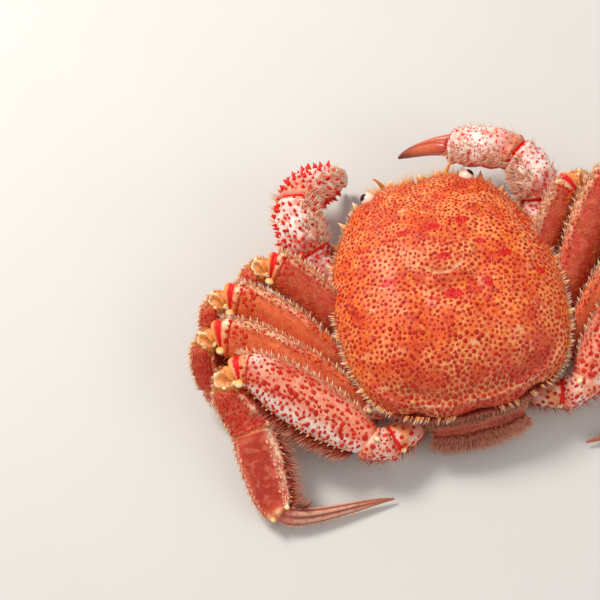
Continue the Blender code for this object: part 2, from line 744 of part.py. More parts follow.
class Crab:
    """Builds every node of the crab in order."""

    def __init__(self):
        self.parts = new_collection(OBJECT_NAME)
        self.cutters = new_collection("cutters")
        self.orange = new_material("carapace_shell", SHELL_ORANGE, 0.42)
        self.red = new_material("leg_shell", SHELL_RED, 0.4)
        self.cream = new_material("belly_shell", CREAM, 0.45)
        self.dark = new_material("eye_surface", DARK_EYE, 0.15)
        self.brown = new_material("claw_tip", CLAW_BROWN, 0.35)
        self.segments = {}

    def guide(self, name, rings, side=RIGHT):
        return as_guide(loft(name, rings, self.cutters, None, side))

    def build_body(self):
        shell = loft("carapace", shell_rings(), self.parts, self.orange)
        for side, word in ((LEFT, "left"), (RIGHT, "right")):
            apply_boolean(shell, "DIFFERENCE", self.guide(f"{word}_eye_room", eye_rings(GAP), side))
        thorax = loft("thorax", thorax_rings(), self.parts, self.cream)
        apply_boolean(thorax, "DIFFERENCE", self.guide("tail_groove", tongue_rings(GAP)))
        self.thorax_room = self.guide("thorax_room", thorax_rings(GAP))
        self.shell_room = self.guide("shell_room", shell_rings(GAP))

    def build_tail(self):
        points = [Vector((0.0, y, z)) for y, z, _ in TAIL_LINE]
        widths = [half for _, _, half in TAIL_LINE]
        halves = [TAIL_HALF_THICKNESS] * len(points)
        tail = loft("abdomen", path_rings(points, widths, halves, tail_face, 14), self.parts, self.cream)
        apply_boolean(tail, "DIFFERENCE", self.thorax_room)
        tongue = self.guide("tail_tongue", tongue_rings())
        apply_boolean(tail, "UNION", tongue)

    def build_head(self):
        for side, word in ((LEFT, "left"), (RIGHT, "right")):
            loft(f"{word}_eye", eye_rings(), self.parts, self.dark, side)
            points = [Vector(p) for p in ANTENNA]
            rings = path_rings(points, ANTENNA_RADII, ANTENNA_RADII, lambda way: Vector((1, 0, 0)), 6)
            feeler = loft(f"{word}_antenna", rings, self.parts, self.orange, side)
            apply_boolean(feeler, "DIFFERENCE", self.shell_room)
            points = [Vector(p) for p in MOUTH_PLATE]
            halves = [MOUTH_PLATE_HALF_THICKNESS] * len(points)
            rings = path_rings(points, MOUTH_PLATE_HALF_WIDTHS, halves, tail_face, 10)
            plate = loft(f"{word}_maxilliped", rings, self.parts, self.cream, side)
            apply_boolean(plate, "DIFFERENCE", self.thorax_room)

    def build_leg(self, leg):
        word = "left" if leg.side == LEFT else "right"
        for name, segment in walking_leg_segments(leg).items():
            node = f"{word}_{leg.name}_{name}"
            made = loft(node, segment.rings(), self.parts, self.red, leg.side)
            self.segments[node] = segment
            if name == "coxa":
                apply_boolean(made, "DIFFERENCE", self.thorax_room)
            elif node in UNDER_THE_MARGIN:
                apply_boolean(made, "DIFFERENCE", self.shell_room)

    def build_claw(self, claw):
        word = "left" if claw.side == LEFT else "right"
        layout = claw_segments(claw)
        for name in ("coxa", "merus", "carpus", "palm", "finger"):
            segment = layout[name]
            rings = segment.rings()
            if name == "palm":
                rings += layout["fixed_finger"].rings()
            node = f"{word}_claw_{name}"
            made = loft(node, rings, self.parts, self.brown if name == "finger" else self.red, claw.side)
            self.segments[node] = segment
            if name == "coxa":
                apply_boolean(made, "DIFFERENCE", self.thorax_room)

    def grow_shell(self, coat):
        for side in (LEFT, RIGHT):
            for x in BROW_TEETH:
                place, normal, lie = margin_place(side * math.atan2(x, BROW - SHELL_CENTRE), BROW_TOOTH_DROP)
                radius = MARGIN_TOOTH_RADIUS * 0.8
                coat.add("carapace", spine, place, normal, lie * 0.2, BROW_TOOTH_LENGTH, radius, 5)
            for degrees in MARGIN_TEETH:
                place, normal, lie = margin_place(side * math.radians(degrees), MARGIN_TOOTH_DROP)
                length = MARGIN_TOOTH_LENGTH * (1.0 if degrees < 90 else REAR_TOOTH_SHARE)
                coat.add("carapace", spine, place, normal, -lie * 0.5, length, MARGIN_TOOTH_RADIUS, 5)
        for k in range(BRISTLES):
            turn = -math.pi + 2.0 * math.pi * (k + 0.5) / BRISTLES
            place, normal, lie = margin_place(turn, coat.random.uniform(*BRISTLE_DROPS))
            length = BRISTLE_LENGTH * coat.vary(0.2)
            coat.add("carapace", spine, place, normal, -lie * 0.4, length, BRISTLE_RADIUS, 4)
        roots = []
        for _ in range(TUBERCLE_DRAWS):
            turn = coat.random.uniform(-math.pi, math.pi)
            place = shell_point(turn, math.sqrt(coat.random.uniform(0.0, TUBERCLE_AREA)))
            if all((place - root).length > TUBERCLE_SPACING for root in roots):
                roots.append(place)
        for place in roots:
            across, forward = TUBERCLE_SPREAD
            rise = Vector((place.x / across, (place.y - SHELL_CENTRE) / forward, 1.0)).normalized()
            size = coat.vary(0.2)
            height, radius = TUBERCLE_HEIGHT * size, TUBERCLE_RADIUS * size
            coat.add("carapace", spine, place, rise, Vector(), height, radius, 5)

    def grow_tail(self, coat):
        for k in range(TAIL_LOCKS):
            x = TAIL_LOCK_REACH * (2.0 * k / (TAIL_LOCKS - 1) - 1.0)
            place = Vector((x, TAIL_LOCK_REAR, TAIL_LOCK_HEIGHT + TAIL_LOCK_WAVE * math.cos(x / 5)))
            normal = Vector((x * 0.012, -1.0, -0.1)).normalized()
            coat.add("abdomen", lock, place, normal, Vector((0, 0, -1)), LOCK_LENGTH, LOCK_HALF_WIDTH, 4)
        for k in range(REAR_LOCKS):
            share = 2.0 * k / (REAR_LOCKS - 1) - 1.0
            turn = math.copysign(math.radians(180 - REAR_LOCK_ARC * abs(share)), share)
            place, normal, _ = margin_place(turn, REAR_LOCK_DROP)
            lie = Vector((0, 0, -0.6))
            coat.add("carapace", lock, place, normal, lie, LOCK_LENGTH * 0.8, LOCK_HALF_WIDTH, 4)

    def grow_row(self, coat, node, make, row, length, width, sides):
        first, last, degrees, count = row
        for k in range(count):
            share = first + (last - first) * (k / (count - 1) if count > 1 else 0.5)
            place, normal, lie = self.segments[node].skin(share, degrees + coat.random.uniform(-4, 4))
            coat.add(node, make, place, normal, lie, length * coat.vary(0.15), width * coat.vary(0.1), sides)

    def grow_limbs(self, coat):
        for leg in LEGS:
            word = "left" if leg.side == LEFT else "right"
            for piece, row in LEG_SPINES.items():
                self.grow_row(coat, f"{word}_{leg.name}_{piece}", spine, row, SPINE_LENGTH, SPINE_RADIUS, 5)
            for piece, row in LEG_LOCKS.items():
                self.grow_row(coat, f"{word}_{leg.name}_{piece}", lock, row, LOCK_LENGTH, LOCK_HALF_WIDTH, 4)
        for word in ("left", "right"):
            for piece, rows in CLAW_SPINES.items():
                node = f"{word}_claw_{piece}"
                for row in rows:
                    self.grow_row(coat, node, spine, row, SPINE_LENGTH, CLAW_SPINE_RADIUS, 5)
            for piece, rows in CLAW_LOCKS.items():
                for row in rows:
                    self.grow_row(coat, f"{word}_claw_{piece}", lock, row, LOCK_LENGTH, LOCK_HALF_WIDTH, 4)

    def build(self):
        self.build_body()
        self.build_tail()
        self.build_head()
        for leg in LEGS:
            self.build_leg(leg)
        for claw in CLAWS:
            self.build_claw(claw)
        coat = Coat({thing.name: thing for thing in self.parts.objects})
        self.grow_shell(coat)
        self.grow_tail(coat)
        self.grow_limbs(coat)
        coat.join()


def main():
    clear_scene()
    Crab().build()


main()
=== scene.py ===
"""Looks of a boiled horsehair crab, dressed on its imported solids.

Sizes are in millimetres and are turned to metres where a mesh is made. +X is the crab's right, +Y its front
and +Z up, as in the frame. A limb is laid out on the right side and mirrored for the left one. A turn round a
limb is in degrees: 0 is its back edge, 90 its outer face, 180 its belly edge and -90 its inner face.
"""

import logging
import math
from dataclasses import dataclass, field
from enum import Enum

import bpy
import numpy as np
from mathutils import Matrix, Vector
from mathutils.bvhtree import BVHTree
from mathutils.kdtree import KDTree


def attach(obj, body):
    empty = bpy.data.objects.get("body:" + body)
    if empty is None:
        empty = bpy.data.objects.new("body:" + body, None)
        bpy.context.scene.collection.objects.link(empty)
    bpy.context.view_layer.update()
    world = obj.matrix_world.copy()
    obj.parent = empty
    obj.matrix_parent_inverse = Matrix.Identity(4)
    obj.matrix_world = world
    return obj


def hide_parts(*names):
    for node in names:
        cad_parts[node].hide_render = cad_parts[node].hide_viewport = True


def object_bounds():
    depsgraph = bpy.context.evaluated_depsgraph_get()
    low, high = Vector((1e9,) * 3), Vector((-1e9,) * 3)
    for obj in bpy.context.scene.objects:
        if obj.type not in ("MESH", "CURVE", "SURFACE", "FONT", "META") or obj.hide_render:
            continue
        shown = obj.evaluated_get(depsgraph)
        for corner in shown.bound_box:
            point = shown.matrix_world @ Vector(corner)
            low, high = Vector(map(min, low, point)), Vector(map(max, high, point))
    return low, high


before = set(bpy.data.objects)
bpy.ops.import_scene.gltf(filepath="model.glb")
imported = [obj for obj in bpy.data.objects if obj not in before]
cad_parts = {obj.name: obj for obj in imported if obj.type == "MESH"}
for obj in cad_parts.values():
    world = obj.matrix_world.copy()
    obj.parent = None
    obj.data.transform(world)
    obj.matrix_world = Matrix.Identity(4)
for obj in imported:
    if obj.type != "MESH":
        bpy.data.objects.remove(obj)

CAD_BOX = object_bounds()
OVERREACH = 0.027
HAIR_DEPTH = 0.3
LEAST_TIP_HEIGHT = 0.3
LEAST_ROOT_HEIGHT = 0.5
BAKE_PATCH = 0.003
MM = 0.001
SEED = 23
BODY = "root"
log = logging.getLogger("horsehair_crab")

Array = np.ndarray
Generator = np.random.Generator
Piece = bpy.types.Object
Material = bpy.types.Material
Socket = bpy.types.NodeSocket

# Back shell: margin of one half, from the middle of the brow round to the middle of the rear
MARGIN = (
    (0.0, 60.0), (15.0, 60.5), (22.0, 57.5), (29.0, 54.0), (35.5, 45.5), (42.5, 33.0), (46.5, 21.0),
    (48.5, 9.0), (48.5, -8.0), (45.5, -24.0), (39.0, -36.0), (21.0, -45.0), (0.0, -47.0),
)
SHELL_CENTRE = 4.0
BROW = 60.5
SHELL_TOP = 53.0
MARGIN_HEIGHT = 34.0
REAR_HEIGHT = 28.5
SHELL_UNDERSIDE = 24.15
WALL_RINGS = ((0.0, 1.0), (0.3, 0.98), (0.7, 0.89), (1.0, 0.8))
DOME_FLATNESS = 2.3
DOME_FULLNESS = 0.72

# Thorax, from the belly up, as (height, half width, front, rear)
THORAX_LEVELS = (
    (0.0, 21.0, 27.0, -36.0), (2.0, 24.5, 32.0, -40.0), (9.0, 28.5, 41.0, -44.5), (17.0, 31.0, 46.5, -45.0),
    (23.85, 33.0, 49.0, -41.0),
)
THORAX_SQUARENESS = 2.6

# Tail flap: outer line behind the body as (forward, up, half width), and the tongue under the belly
TAIL_LINE = (
    (-30.0, 20.2, 19.0), (-44.5, 20.4, 20.5), (-49.5, 16.5, 19.5), (-50.0, 10.0, 16.5), (-46.5, 5.0, 13.0),
    (-42.0, 3.4, 11.0),
)
TAIL_HALF_THICKNESS = 3.3
TONGUE = ((0.0, 10.2, 10.2, 1.55), (0.3, 9.2, 9.2, 1.5), (0.62, 7.0, 7.0, 1.45), (0.9, 4.6, 4.6, 1.3),
          (1.0, 2.4, 2.4, 1.0))
TONGUE_REAR = -45.0
TONGUE_LENGTH = 33.0
TONGUE_LEVEL = 1.75

# Head
EYE = ((15.5, 54.5, 30.5), (18.6, 55.8, 31.6), (20.6, 56.7, 32.8), (22.3, 57.5, 34.0), (23.9, 58.2, 35.3),
       (24.7, 58.6, 36.0))
EYE_RADII = (1.8, 2.0, 3.1, 3.5, 2.8, 1.3)
EYE_KNOT = 3
ANTENNA = ((12.5, 54.5, 28.5), (13.5, 61.5, 30.0), (15.5, 64.0, 34.0), (18.0, 64.5, 39.0))
ANTENNA_RADII = (1.9, 1.4, 0.8, 0.35)
MOUTH_PLATE = ((7.6, 34.0, 5.0), (7.6, 41.5, 13.0), (7.2, 46.5, 21.6))
MOUTH_PLATE_HALF_WIDTHS = (4.6, 6.9, 6.0)
MOUTH_PLATE_HALF_THICKNESS = 3.2

# Sections along a limb, as (fraction of its length, back reach, belly reach, half thickness)
COXA = ((0.0, 0.55, 0.55, 1.1), (0.45, 0.56, 0.58, 1.1), (0.75, 0.54, 0.6, 1.08), (1.0, 0.58, 0.64, 0.98))
MERUS = (
    (0.0, 0.56, 0.62, 0.95), (0.1, 0.7, 0.82, 0.98), (0.28, 0.9, 1.0, 1.0), (0.48, 1.0, 1.0, 1.0),
    (0.62, 0.99, 0.82, 1.0), (0.74, 0.94, 0.56, 1.02), (0.9, 0.82, 0.33, 1.04), (1.0, 0.66, 0.3, 1.0),
)
CARPUS = ((0.0, 0.64, 0.3, 1.0), (0.25, 0.76, 0.31, 1.04), (0.6, 0.8, 0.6, 1.0), (1.0, 0.76, 0.72, 0.92))
PROPODUS = (
    (0.0, 0.74, 0.72, 0.9), (0.2, 0.8, 0.8, 0.94), (0.5, 0.78, 0.78, 0.9), (0.8, 0.64, 0.62, 0.8),
    (1.0, 0.46, 0.44, 0.7),
)
DACTYLUS = (
    (0.0, 0.4, 0.4, 0.62), (0.12, 0.42, 0.42, 0.64), (0.45, 0.32, 0.3, 0.5), (0.8, 0.17, 0.16, 0.28),
    (1.0, 0.04, 0.04, 0.08),
)
CLAW_COXA = ((0.0, 6.0, 6.0, 6.0), (0.5, 6.2, 6.2, 6.2), (1.0, 6.6, 6.2, 5.8))
CLAW_MERUS = ((0.0, 7.0, 6.4, 6.0), (0.3, 8.2, 7.2, 7.0), (0.7, 9.2, 8.0, 8.0), (1.0, 8.0, 7.4, 7.6))
CLAW_CARPUS = ((0.0, 8.2, 7.6, 7.6), (0.3, 10.2, 8.6, 9.0), (0.7, 10.0, 8.6, 9.0), (1.0, 7.6, 7.2, 7.0))
CLAW_PALM = ((0.0, 7.6, 7.4, 6.6), (0.2, 9.2, 8.6, 7.6), (0.6, 10.4, 9.6, 8.0), (1.0, 9.2, 8.8, 6.6))
FINGER = ((0.0, 4.1, 4.1, 4.0), (0.3, 3.4, 3.4, 3.6), (0.7, 2.0, 2.0, 2.3), (1.0, 0.5, 0.5, 0.5))
FINGER_SPREAD = 4.9
FINGER_TIP_SPREAD = 1.5
# Each finger's name, its side of the palm and how far before the palm's end it starts
FINGERS = (("fixed_finger", -1, -2.5), ("finger", 1, 1.0))
# The middle legs' belly edges, hidden in the solids' gaps, go on under the next leg up to the knee
MERUS_SKIN = (
    (0.0, 0.56, 0.62, 0.95), (0.1, 0.7, 0.82, 0.98), (0.28, 0.92, 1.05, 1.0), (0.48, 1.04, 1.1, 1.0),
    (0.62, 1.04, 1.1, 1.0), (0.74, 1.0, 1.06, 1.02), (0.86, 0.92, 0.98, 1.04), (0.94, 0.84, 0.84, 1.04),
    (1.0, 0.7, 0.66, 1.0),
)
MERUS_ARCH = 0.2
GAP = 0.3
# Share of the turn from one segment to the next at which their joint lies: knee, second joint, foot
JOINT_SHARES = (0.46, 0.55, 0.5)
# How far each segment's middle line runs on straight from its two ends
LEG_SLACKS = ((1.0, 1.0), (1.0, 0.3), (0.9, 0.9), (0.5, 0.5), (0.6, 1.0))
CLAW_SLACK = (0.8, 0.8)
FINGER_SLACK = (0.8, 0.6)
WAY_STEP = 0.01


class Side(Enum):
    """Side of the crab that a limb belongs to; the value is the sign of its X."""

    LEFT = -1
    RIGHT = 1

    @property
    def word(self) -> str:
        """Name of the side as the nodes have it."""
        return self.name.lower()


@dataclass(frozen=True)
class LegPlan:
    """Places and sizes of one walking leg; folds are (turn in the leg's plane, lean out of it) in degrees."""

    name: str
    side: Side
    root: tuple
    hip: tuple
    knee: tuple
    face: tuple
    half_width: float
    belly_share: float
    half_thickness: float
    folds: tuple
    lengths: tuple


MIDDLE_FACE = (0.30, -0.67, 0.68)
REAR_FACE = (0.18, -0.525, 0.83)
TIGHT_FACE = (0.47, -0.72, 0.50)
MIDDLE_FOLD = ((112.0, 0.0), (164.0, 0.0), (211.0, 0.0))
TIGHT_FOLD = ((120.0, -5.0), (166.0, -3.0), (206.0, 10.0))
REAR_FOLD = ((130.0, 0.0), (137.0, 11.0), (210.0, -14.0))
LEGS = (
    LegPlan("leg_2", Side.LEFT, (22, 9, 12), (42, -2.2, 18.5), (71.2, 31.8, 42), MIDDLE_FACE, 10.0, 0.8, 4.5,
            MIDDLE_FOLD, (19, 30, 30)),
    LegPlan("leg_3", Side.LEFT, (23, -6, 12), (49, -16, 19), (91.3, 22.9, 39), MIDDLE_FACE, 10.5, 0.62,
            4.4, MIDDLE_FOLD, (20, 32, 34)),
    LegPlan("leg_4", Side.LEFT, (22, -18.5, 12), (47, -31, 19), (99.4, 8.6, 34.7), MIDDLE_FACE, 11.0, 0.5,
            4.0, MIDDLE_FOLD, (21, 33, 38)),
    LegPlan("leg_5", Side.LEFT, (19, -32, 12), (47.5, -45.8, 21), (95.1, -9.4, 33), REAR_FACE, 11.8, 1.03,
            4.7, REAR_FOLD, (24, 37, 48)),
    LegPlan("leg_2", Side.RIGHT, (22, 9, 12), (39, 5, 16.9), (63.1, 38.2, 42), TIGHT_FACE, 9.0, 0.85, 4.4,
            TIGHT_FOLD, (18, 28, 28)),
    LegPlan("leg_3", Side.RIGHT, (23, -5, 12), (48.2, -12.6, 18.6), (83.2, 38, 40), MIDDLE_FACE, 10.5, 0.62,
            4.4, MIDDLE_FOLD, (20, 32, 34)),
    LegPlan("leg_4", Side.RIGHT, (22, -17.5, 12), (47, -27.5, 19), (99.2, 12.6, 34.7), MIDDLE_FACE, 11.0, 0.5,
            4.0, MIDDLE_FOLD, (21, 33, 38)),
    LegPlan("leg_5", Side.RIGHT, (19, -31, 12), (48.5, -41.5, 21), (96.5, -4.7, 33), REAR_FACE, 11.8, 1.03,
            4.7, REAR_FOLD, (24, 37, 48)),
)


@dataclass(frozen=True)
class ClawPlan:
    """Places of one claw leg, from its root in the thorax to the tips of its fingers."""

    side: Side
    root: tuple
    hip: tuple
    elbow: tuple
    wrist: tuple
    palm_end: tuple
    tip: tuple
    face: tuple


CLAWS = (
    ClawPlan(Side.LEFT, (20, 22, 12), (37, 23, 17), (53, 41, 30), (53, 61, 39), (38, 76, 25), (30, 81, 4.5),
             (0.3, 0.75, 0.6)),
    ClawPlan(Side.RIGHT, (20, 24, 12), (37, 24, 17), (51, 41, 30), (45, 60, 39), (20, 74, 35), (-3, 79, 25),
             (0.2, 0.7, 0.7)),
)


# Shapes in numbers

def rising(low: float, high: float, value: Array) -> Array:
    """Rise smoothly from 0 at low to 1 at high."""
    share = np.clip((np.asarray(value, float) - low) / (high - low), 0.0, 1.0)
    return share * share * (3.0 - 2.0 * share)


def falling(low: float, high: float, value: Array) -> Array:
    """Fall smoothly from 1 at low to 0 at high."""
    return 1.0 - rising(low, high, value)


def swell(value: Array, centre: float, width: float) -> Array:
    """Round bump of height 1 at the centre."""
    return np.exp(-(((np.asarray(value, float) - centre) / width) ** 2))


def rings(t: Array, centres: tuple, width: float) -> Array:
    """Round bumps across a limb at several shares of its length."""
    return np.max([swell(t, centre, width) for centre in centres], 0)


def mound(x: Array, y: Array, centre: tuple, size: tuple) -> Array:
    """Round swelling of height 1 on the back shell, with its size to the side and forward."""
    return np.exp(-(((x - centre[0]) / size[0]) ** 2) - ((y - centre[1]) / size[1]) ** 2)


def turn_gap(turn: Array, centre: float) -> Array:
    """Distance between two turns round a limb, in degrees."""
    return np.abs((np.asarray(turn, float) - centre + 180.0) % 360.0 - 180.0)


def band(turn: Array, centre: float, width: float) -> Array:
    """Round bump along a limb, at a turn round it."""
    return swell(turn_gap(turn, centre), 0.0, width)


def beside(turn: Array, centre: float, near: float, far: float) -> Array:
    """Band along a limb at a turn round it: 1 up to so many degrees from it, falling to 0 farther out."""
    return falling(near, far, turn_gap(turn, centre))


def spot(t: Array, turn: Array, share: float, centre: float, length: float, width: float) -> Array:
    """Round bump on a limb, at a share of its length and a turn; its size is a share and degrees."""
    return swell(np.hypot((t - share) / length, turn_gap(turn, centre) / width), 0.0, 1.0)


def hermite(start: Array, end: Array, start_pull: Array, end_pull: Array, t: Array) -> Array:
    """Point of a cubic curve between two ends with the given pulls."""
    t2 = t * t
    t3 = t2 * t
    return (
        start * (2 * t3 - 3 * t2 + 1) + start_pull * (t3 - 2 * t2 + t)
        + end * (3 * t2 - 2 * t3) + end_pull * (t3 - t2)
    )


def curve_through(knots: tuple, places: Array) -> Array:
    """Read a smooth curve through (place, height) knots.

    Args:
        knots: Pairs in rising order of place.
        places: Where to read the curve.

    Returns:
        The heights there.
    """
    xs, ys = np.array(knots, float).T
    before = np.r_[0, np.arange(len(xs) - 1)]
    after = np.r_[np.arange(1, len(xs)), len(xs) - 1]
    slopes = (ys[after] - ys[before]) / (xs[after] - xs[before])
    places = np.asarray(places, float)
    i = np.clip(np.searchsorted(xs, places, side="right") - 1, 0, len(xs) - 2)
    span = xs[i + 1] - xs[i]
    return hermite(ys[i], ys[i + 1], slopes[i] * span, slopes[i + 1] * span, (places - xs[i]) / span)


def eye_distance(places: Array) -> Array:
    """Distance of each place to the nearer eye."""
    eyes = [np.array(EYE[EYE_KNOT]) * np.array([side.value, 1, 1]) for side in Side]
    return np.minimum(*(np.linalg.norm(places - eye, axis=1) for eye in eyes))


def unit_rows(rows: Array) -> Array:
    """Scale each row to length 1."""
    return rows / np.maximum(np.linalg.norm(rows, axis=-1, keepdims=True), 1e-9)


def unit(vector: tuple) -> Array:
    """Scale one vector to length 1."""
    return unit_rows(np.array(vector, float))


def turned(way: Array, target: Array, share: float) -> Array:
    """Direction part of the way from one direction to another."""
    return np.array(Vector(way).slerp(Vector(target), share).normalized())


def side_of(ways: Array) -> Array:
    """Any direction square to each row."""
    helper = np.where(np.abs(ways[:, 2:3]) < 0.8, [[0.0, 0.0, 1.0]], [[0.0, 1.0, 0.0]])
    return unit_rows(np.cross(ways, helper))


def margin_radius(turn: Array) -> Array:
    """Distance from the shell's centre to its margin; turn is 0 at the brow and pi at the rear."""
    knots = [(math.atan2(x, y - SHELL_CENTRE), math.hypot(x, y - SHELL_CENTRE)) for x, y in MARGIN]
    return curve_through(knots, np.abs(turn))


def margin_height(y: Array) -> Array:
    """Height of the shell's margin."""
    return REAR_HEIGHT + (MARGIN_HEIGHT - REAR_HEIGHT) * rising(-46.0, 4.0, y)


def solid_relief(x: Array, y: Array) -> Array:
    """Low swellings of the back shell that the solid has too."""
    x = np.abs(x)
    height = 1.2 * mound(x, y, (0, 24), (13, 13)) + mound(x, y, (0, -14), (9, 9))
    height += 0.8 * mound(x, y, (27, -9), (12, 16))
    height -= 1.3 * swell(np.hypot(x, y - 18), 19, 3.5) * falling(4, 16, y)
    height -= swell(x, 12, 3.0) * rising(-30, -22, y) * falling(-4, 4, y)
    return height


def dome(turn: Array, share: Array) -> Array:
    """Points on the upper side of the back shell at a share of the way out to the margin."""
    radius = margin_radius(turn)
    x = np.sin(turn) * radius * share
    y = SHELL_CENTRE + np.cos(turn) * radius * share
    edge_y = SHELL_CENTRE + np.cos(turn) * radius
    low = margin_height(edge_y)
    bow = np.maximum(1.0 - share ** DOME_FLATNESS, 0.0) ** DOME_FULLNESS
    z = low + (SHELL_TOP - low) * bow + solid_relief(x, y) * (1.0 - share ** 6)
    rear = falling(-36.0, -18.0, edge_y)
    z += rear * (1.3 * swell(share, 0.965, 0.03) - 1.0 * swell(share, 0.89, 0.035))
    return np.stack([x, y, z], -1)


def wall(turn: Array, down: Array) -> Array:
    """Points on the wall below the margin, at a share of the way down."""
    edge = dome(turn, np.ones_like(turn))
    share = curve_through(WALL_RINGS, down)
    x = edge[:, 0] * share
    y = SHELL_CENTRE + (edge[:, 1] - SHELL_CENTRE) * share
    return np.stack([x, y, edge[:, 2] - down * (edge[:, 2] - SHELL_UNDERSIDE)], -1)


@dataclass
class Limb:
    """A bent bar between two joints with oval sections, laid out on the right side."""

    start: Array
    end: Array
    start_way: Array
    end_way: Array
    face: Array
    sections: tuple
    side: Side
    slack: tuple = (1.0, 0.5)

    @property
    def length(self) -> float:
        """Straight distance between the two joints."""
        return float(np.linalg.norm(self.end - self.start))

    def middle(self, t: Array) -> Array:
        """Points of the middle line."""
        first = self.start_way * self.length * self.slack[0]
        last = self.end_way * self.length * self.slack[1]
        return hermite(self.start, self.end, first, last, np.asarray(t)[:, None])

    def frames(self, t: Array) -> tuple:
        """Middle points at shares of the length, and the axes along, out of the face and to the back."""
        inside = np.clip(t, 0.0, 1.0)
        before, after = np.maximum(0.0, inside - WAY_STEP), np.minimum(1.0, inside + WAY_STEP)
        way = unit_rows(self.middle(after) - self.middle(before))
        thin = unit_rows(self.face - way * (way @ self.face)[:, None])
        edge = np.cross(thin, way)
        here = self.middle(inside) + way * ((t - inside) * self.length)[:, None]
        return here, way, thin, edge

    def reach(self, t: Array) -> tuple:
        """Back reach, belly reach and half thickness at shares of the length."""
        table = np.array(self.sections, float)
        return tuple(np.interp(t, table[:, 0], table[:, i]) for i in (1, 2, 3))

    def mirrored(self, rows: Array) -> Array:
        """Rows on the side that the limb belongs to."""
        return rows * np.array([self.side.value, 1.0, 1.0])

    def bent(self, upright: Array) -> Array:
        """Bend an upright model onto the limb.

        Args:
            upright: Places with x out of the face, y to the back edge and z along, in millimetres.

        Returns:
            Places in the crab's frame, in millimetres.
        """
        here, _, thin, edge = self.frames(upright[:, 2] / self.length)
        return self.mirrored(here + thin * upright[:, :1] + edge * upright[:, 1:2])

    def skin(self, t: Array, degrees: Array) -> tuple:
        """Places on the surface, their normals and the way to the limb's tip."""
        here, way, thin, edge = self.frames(t)
        back, belly, half = self.reach(t)
        across, up = np.cos(np.radians(degrees)), np.sin(np.radians(degrees))
        reach = np.where(across > 0, back, belly)
        place = here + edge * (across * reach)[:, None] + thin * (up * half)[:, None]
        normal = unit_rows(edge * (across / reach)[:, None] + thin * (up / half)[:, None])
        return self.mirrored(place), self.mirrored(normal), self.mirrored(way)


def scaled(sections: tuple, back: float, belly: float, half: float) -> tuple:
    """Give shares of a section their size."""
    return tuple((t, b * back, v * belly, h * half) for t, b, v, h in sections)


def cross_axes(along: Array, face: Array) -> tuple:
    """Axes across a limb: out of its broad face, and towards its back edge."""
    thin = unit_rows(face - along * float(face @ along))
    return thin, np.cross(thin, along)


def lay_out_leg(plan: LegPlan) -> dict:
    """Lay out the five segments of a folded walking leg, by name."""
    root, hip, knee = (np.array(p, float) for p in (plan.root, plan.hip, plan.knee))
    along = unit_rows(knee - hip)
    face = unit(plan.face)
    thin, back = cross_axes(along, face)
    points = [knee]
    ways = []
    for (turn, lean), length in zip(plan.folds, plan.lengths):
        angle, out = math.radians(turn), math.radians(lean)
        way = (along * math.cos(angle) - back * math.sin(angle)) * math.cos(out) + thin * math.sin(out)
        ways.append(unit_rows(way))
        points.append(points[-1] + ways[-1] * length)
    hip_way = unit_rows(along + back * MERUS_ARCH)
    first = unit_rows(unit_rows(hip - root) * 2.0 - hip_way)
    joints = [root, hip, *points]
    bends = [turned(before, after, share) for before, after, share in zip([along, *ways], ways, JOINT_SHARES)]
    joint_ways = [first, hip_way, *bends, ways[2]]
    names = ("coxa", "merus", "carpus", "propodus", "dactylus")
    shapes = (COXA, MERUS, CARPUS, PROPODUS, DACTYLUS)
    limbs = {}
    for i, name in enumerate(names):
        shape = scaled(shapes[i], plan.half_width, plan.half_width * plan.belly_share, plan.half_thickness)
        start = joints[i] + joint_ways[i] * (GAP / 2 if i else 0.0)
        end = joints[i + 1] - joint_ways[i + 1] * (GAP / 2 if i < 4 else 0.0)
        limbs[name] = Limb(start, end, joint_ways[i], joint_ways[i + 1], face, shape, plan.side,
                           LEG_SLACKS[i])
    return limbs


def lay_out_claw(plan: ClawPlan) -> dict:
    """Lay out the four segments of a claw leg up to its palm, and its two fingers, by name."""
    places = [np.array(p, float) for p in (plan.root, plan.hip, plan.elbow, plan.wrist, plan.palm_end)]
    tip = np.array(plan.tip, float)
    runs = [unit_rows(b - a) for a, b in zip(places, places[1:])]
    ways = [runs[0], *(unit_rows(a + b) for a, b in zip(runs, runs[1:])), runs[3]]
    face = unit(plan.face)
    limbs = {}
    for i, (name, shape) in enumerate((("coxa", CLAW_COXA), ("merus", CLAW_MERUS), ("carpus", CLAW_CARPUS),
                                       ("palm", CLAW_PALM))):
        start = places[i] + ways[i] * (GAP / 2 if i else 0.0)
        end = places[i + 1] - ways[i + 1] * (GAP / 2 if i < 3 else 0.0)
        limbs[name] = Limb(start, end, ways[i], ways[i + 1], face, shape, plan.side, CLAW_SLACK)
    forward = runs[3]
    back = cross_axes(forward, face)[1]
    end_way = unit_rows(unit_rows(tip - places[4]) * 2 - forward)
    for name, sign, set_off in FINGERS:
        start = places[4] + back * FINGER_SPREAD * sign + forward * set_off
        end = tip + back * FINGER_TIP_SPREAD * sign
        limbs[name] = Limb(start, end, forward, end_way, face, FINGER, plan.side, FINGER_SLACK)
    return limbs


# Modelling

def deselect() -> None:
    """Leave object mode's selection empty."""
    bpy.ops.object.select_all(action="DESELECT")


def edit(on: bool) -> None:
    """Go into edit mode or back to object mode."""
    bpy.ops.object.mode_set(mode="EDIT" if on else "OBJECT")


def make_active(piece: Piece) -> None:
    """Select one piece alone, for an operator to act on."""
    deselect()
    piece.select_set(True)
    bpy.context.view_layer.objects.active = piece


def read_places(piece: Piece) -> Array:
    """Vertices of a piece in millimetres."""
    places = np.empty(len(piece.data.vertices) * 3)
    piece.data.vertices.foreach_get("co", places)
    return places.reshape(-1, 3) / MM


def write_places(piece: Piece, places: Array) -> None:
    """Move the vertices of a piece to places in millimetres."""
    piece.data.vertices.foreach_set("co", (places * MM).ravel())
    piece.data.update()


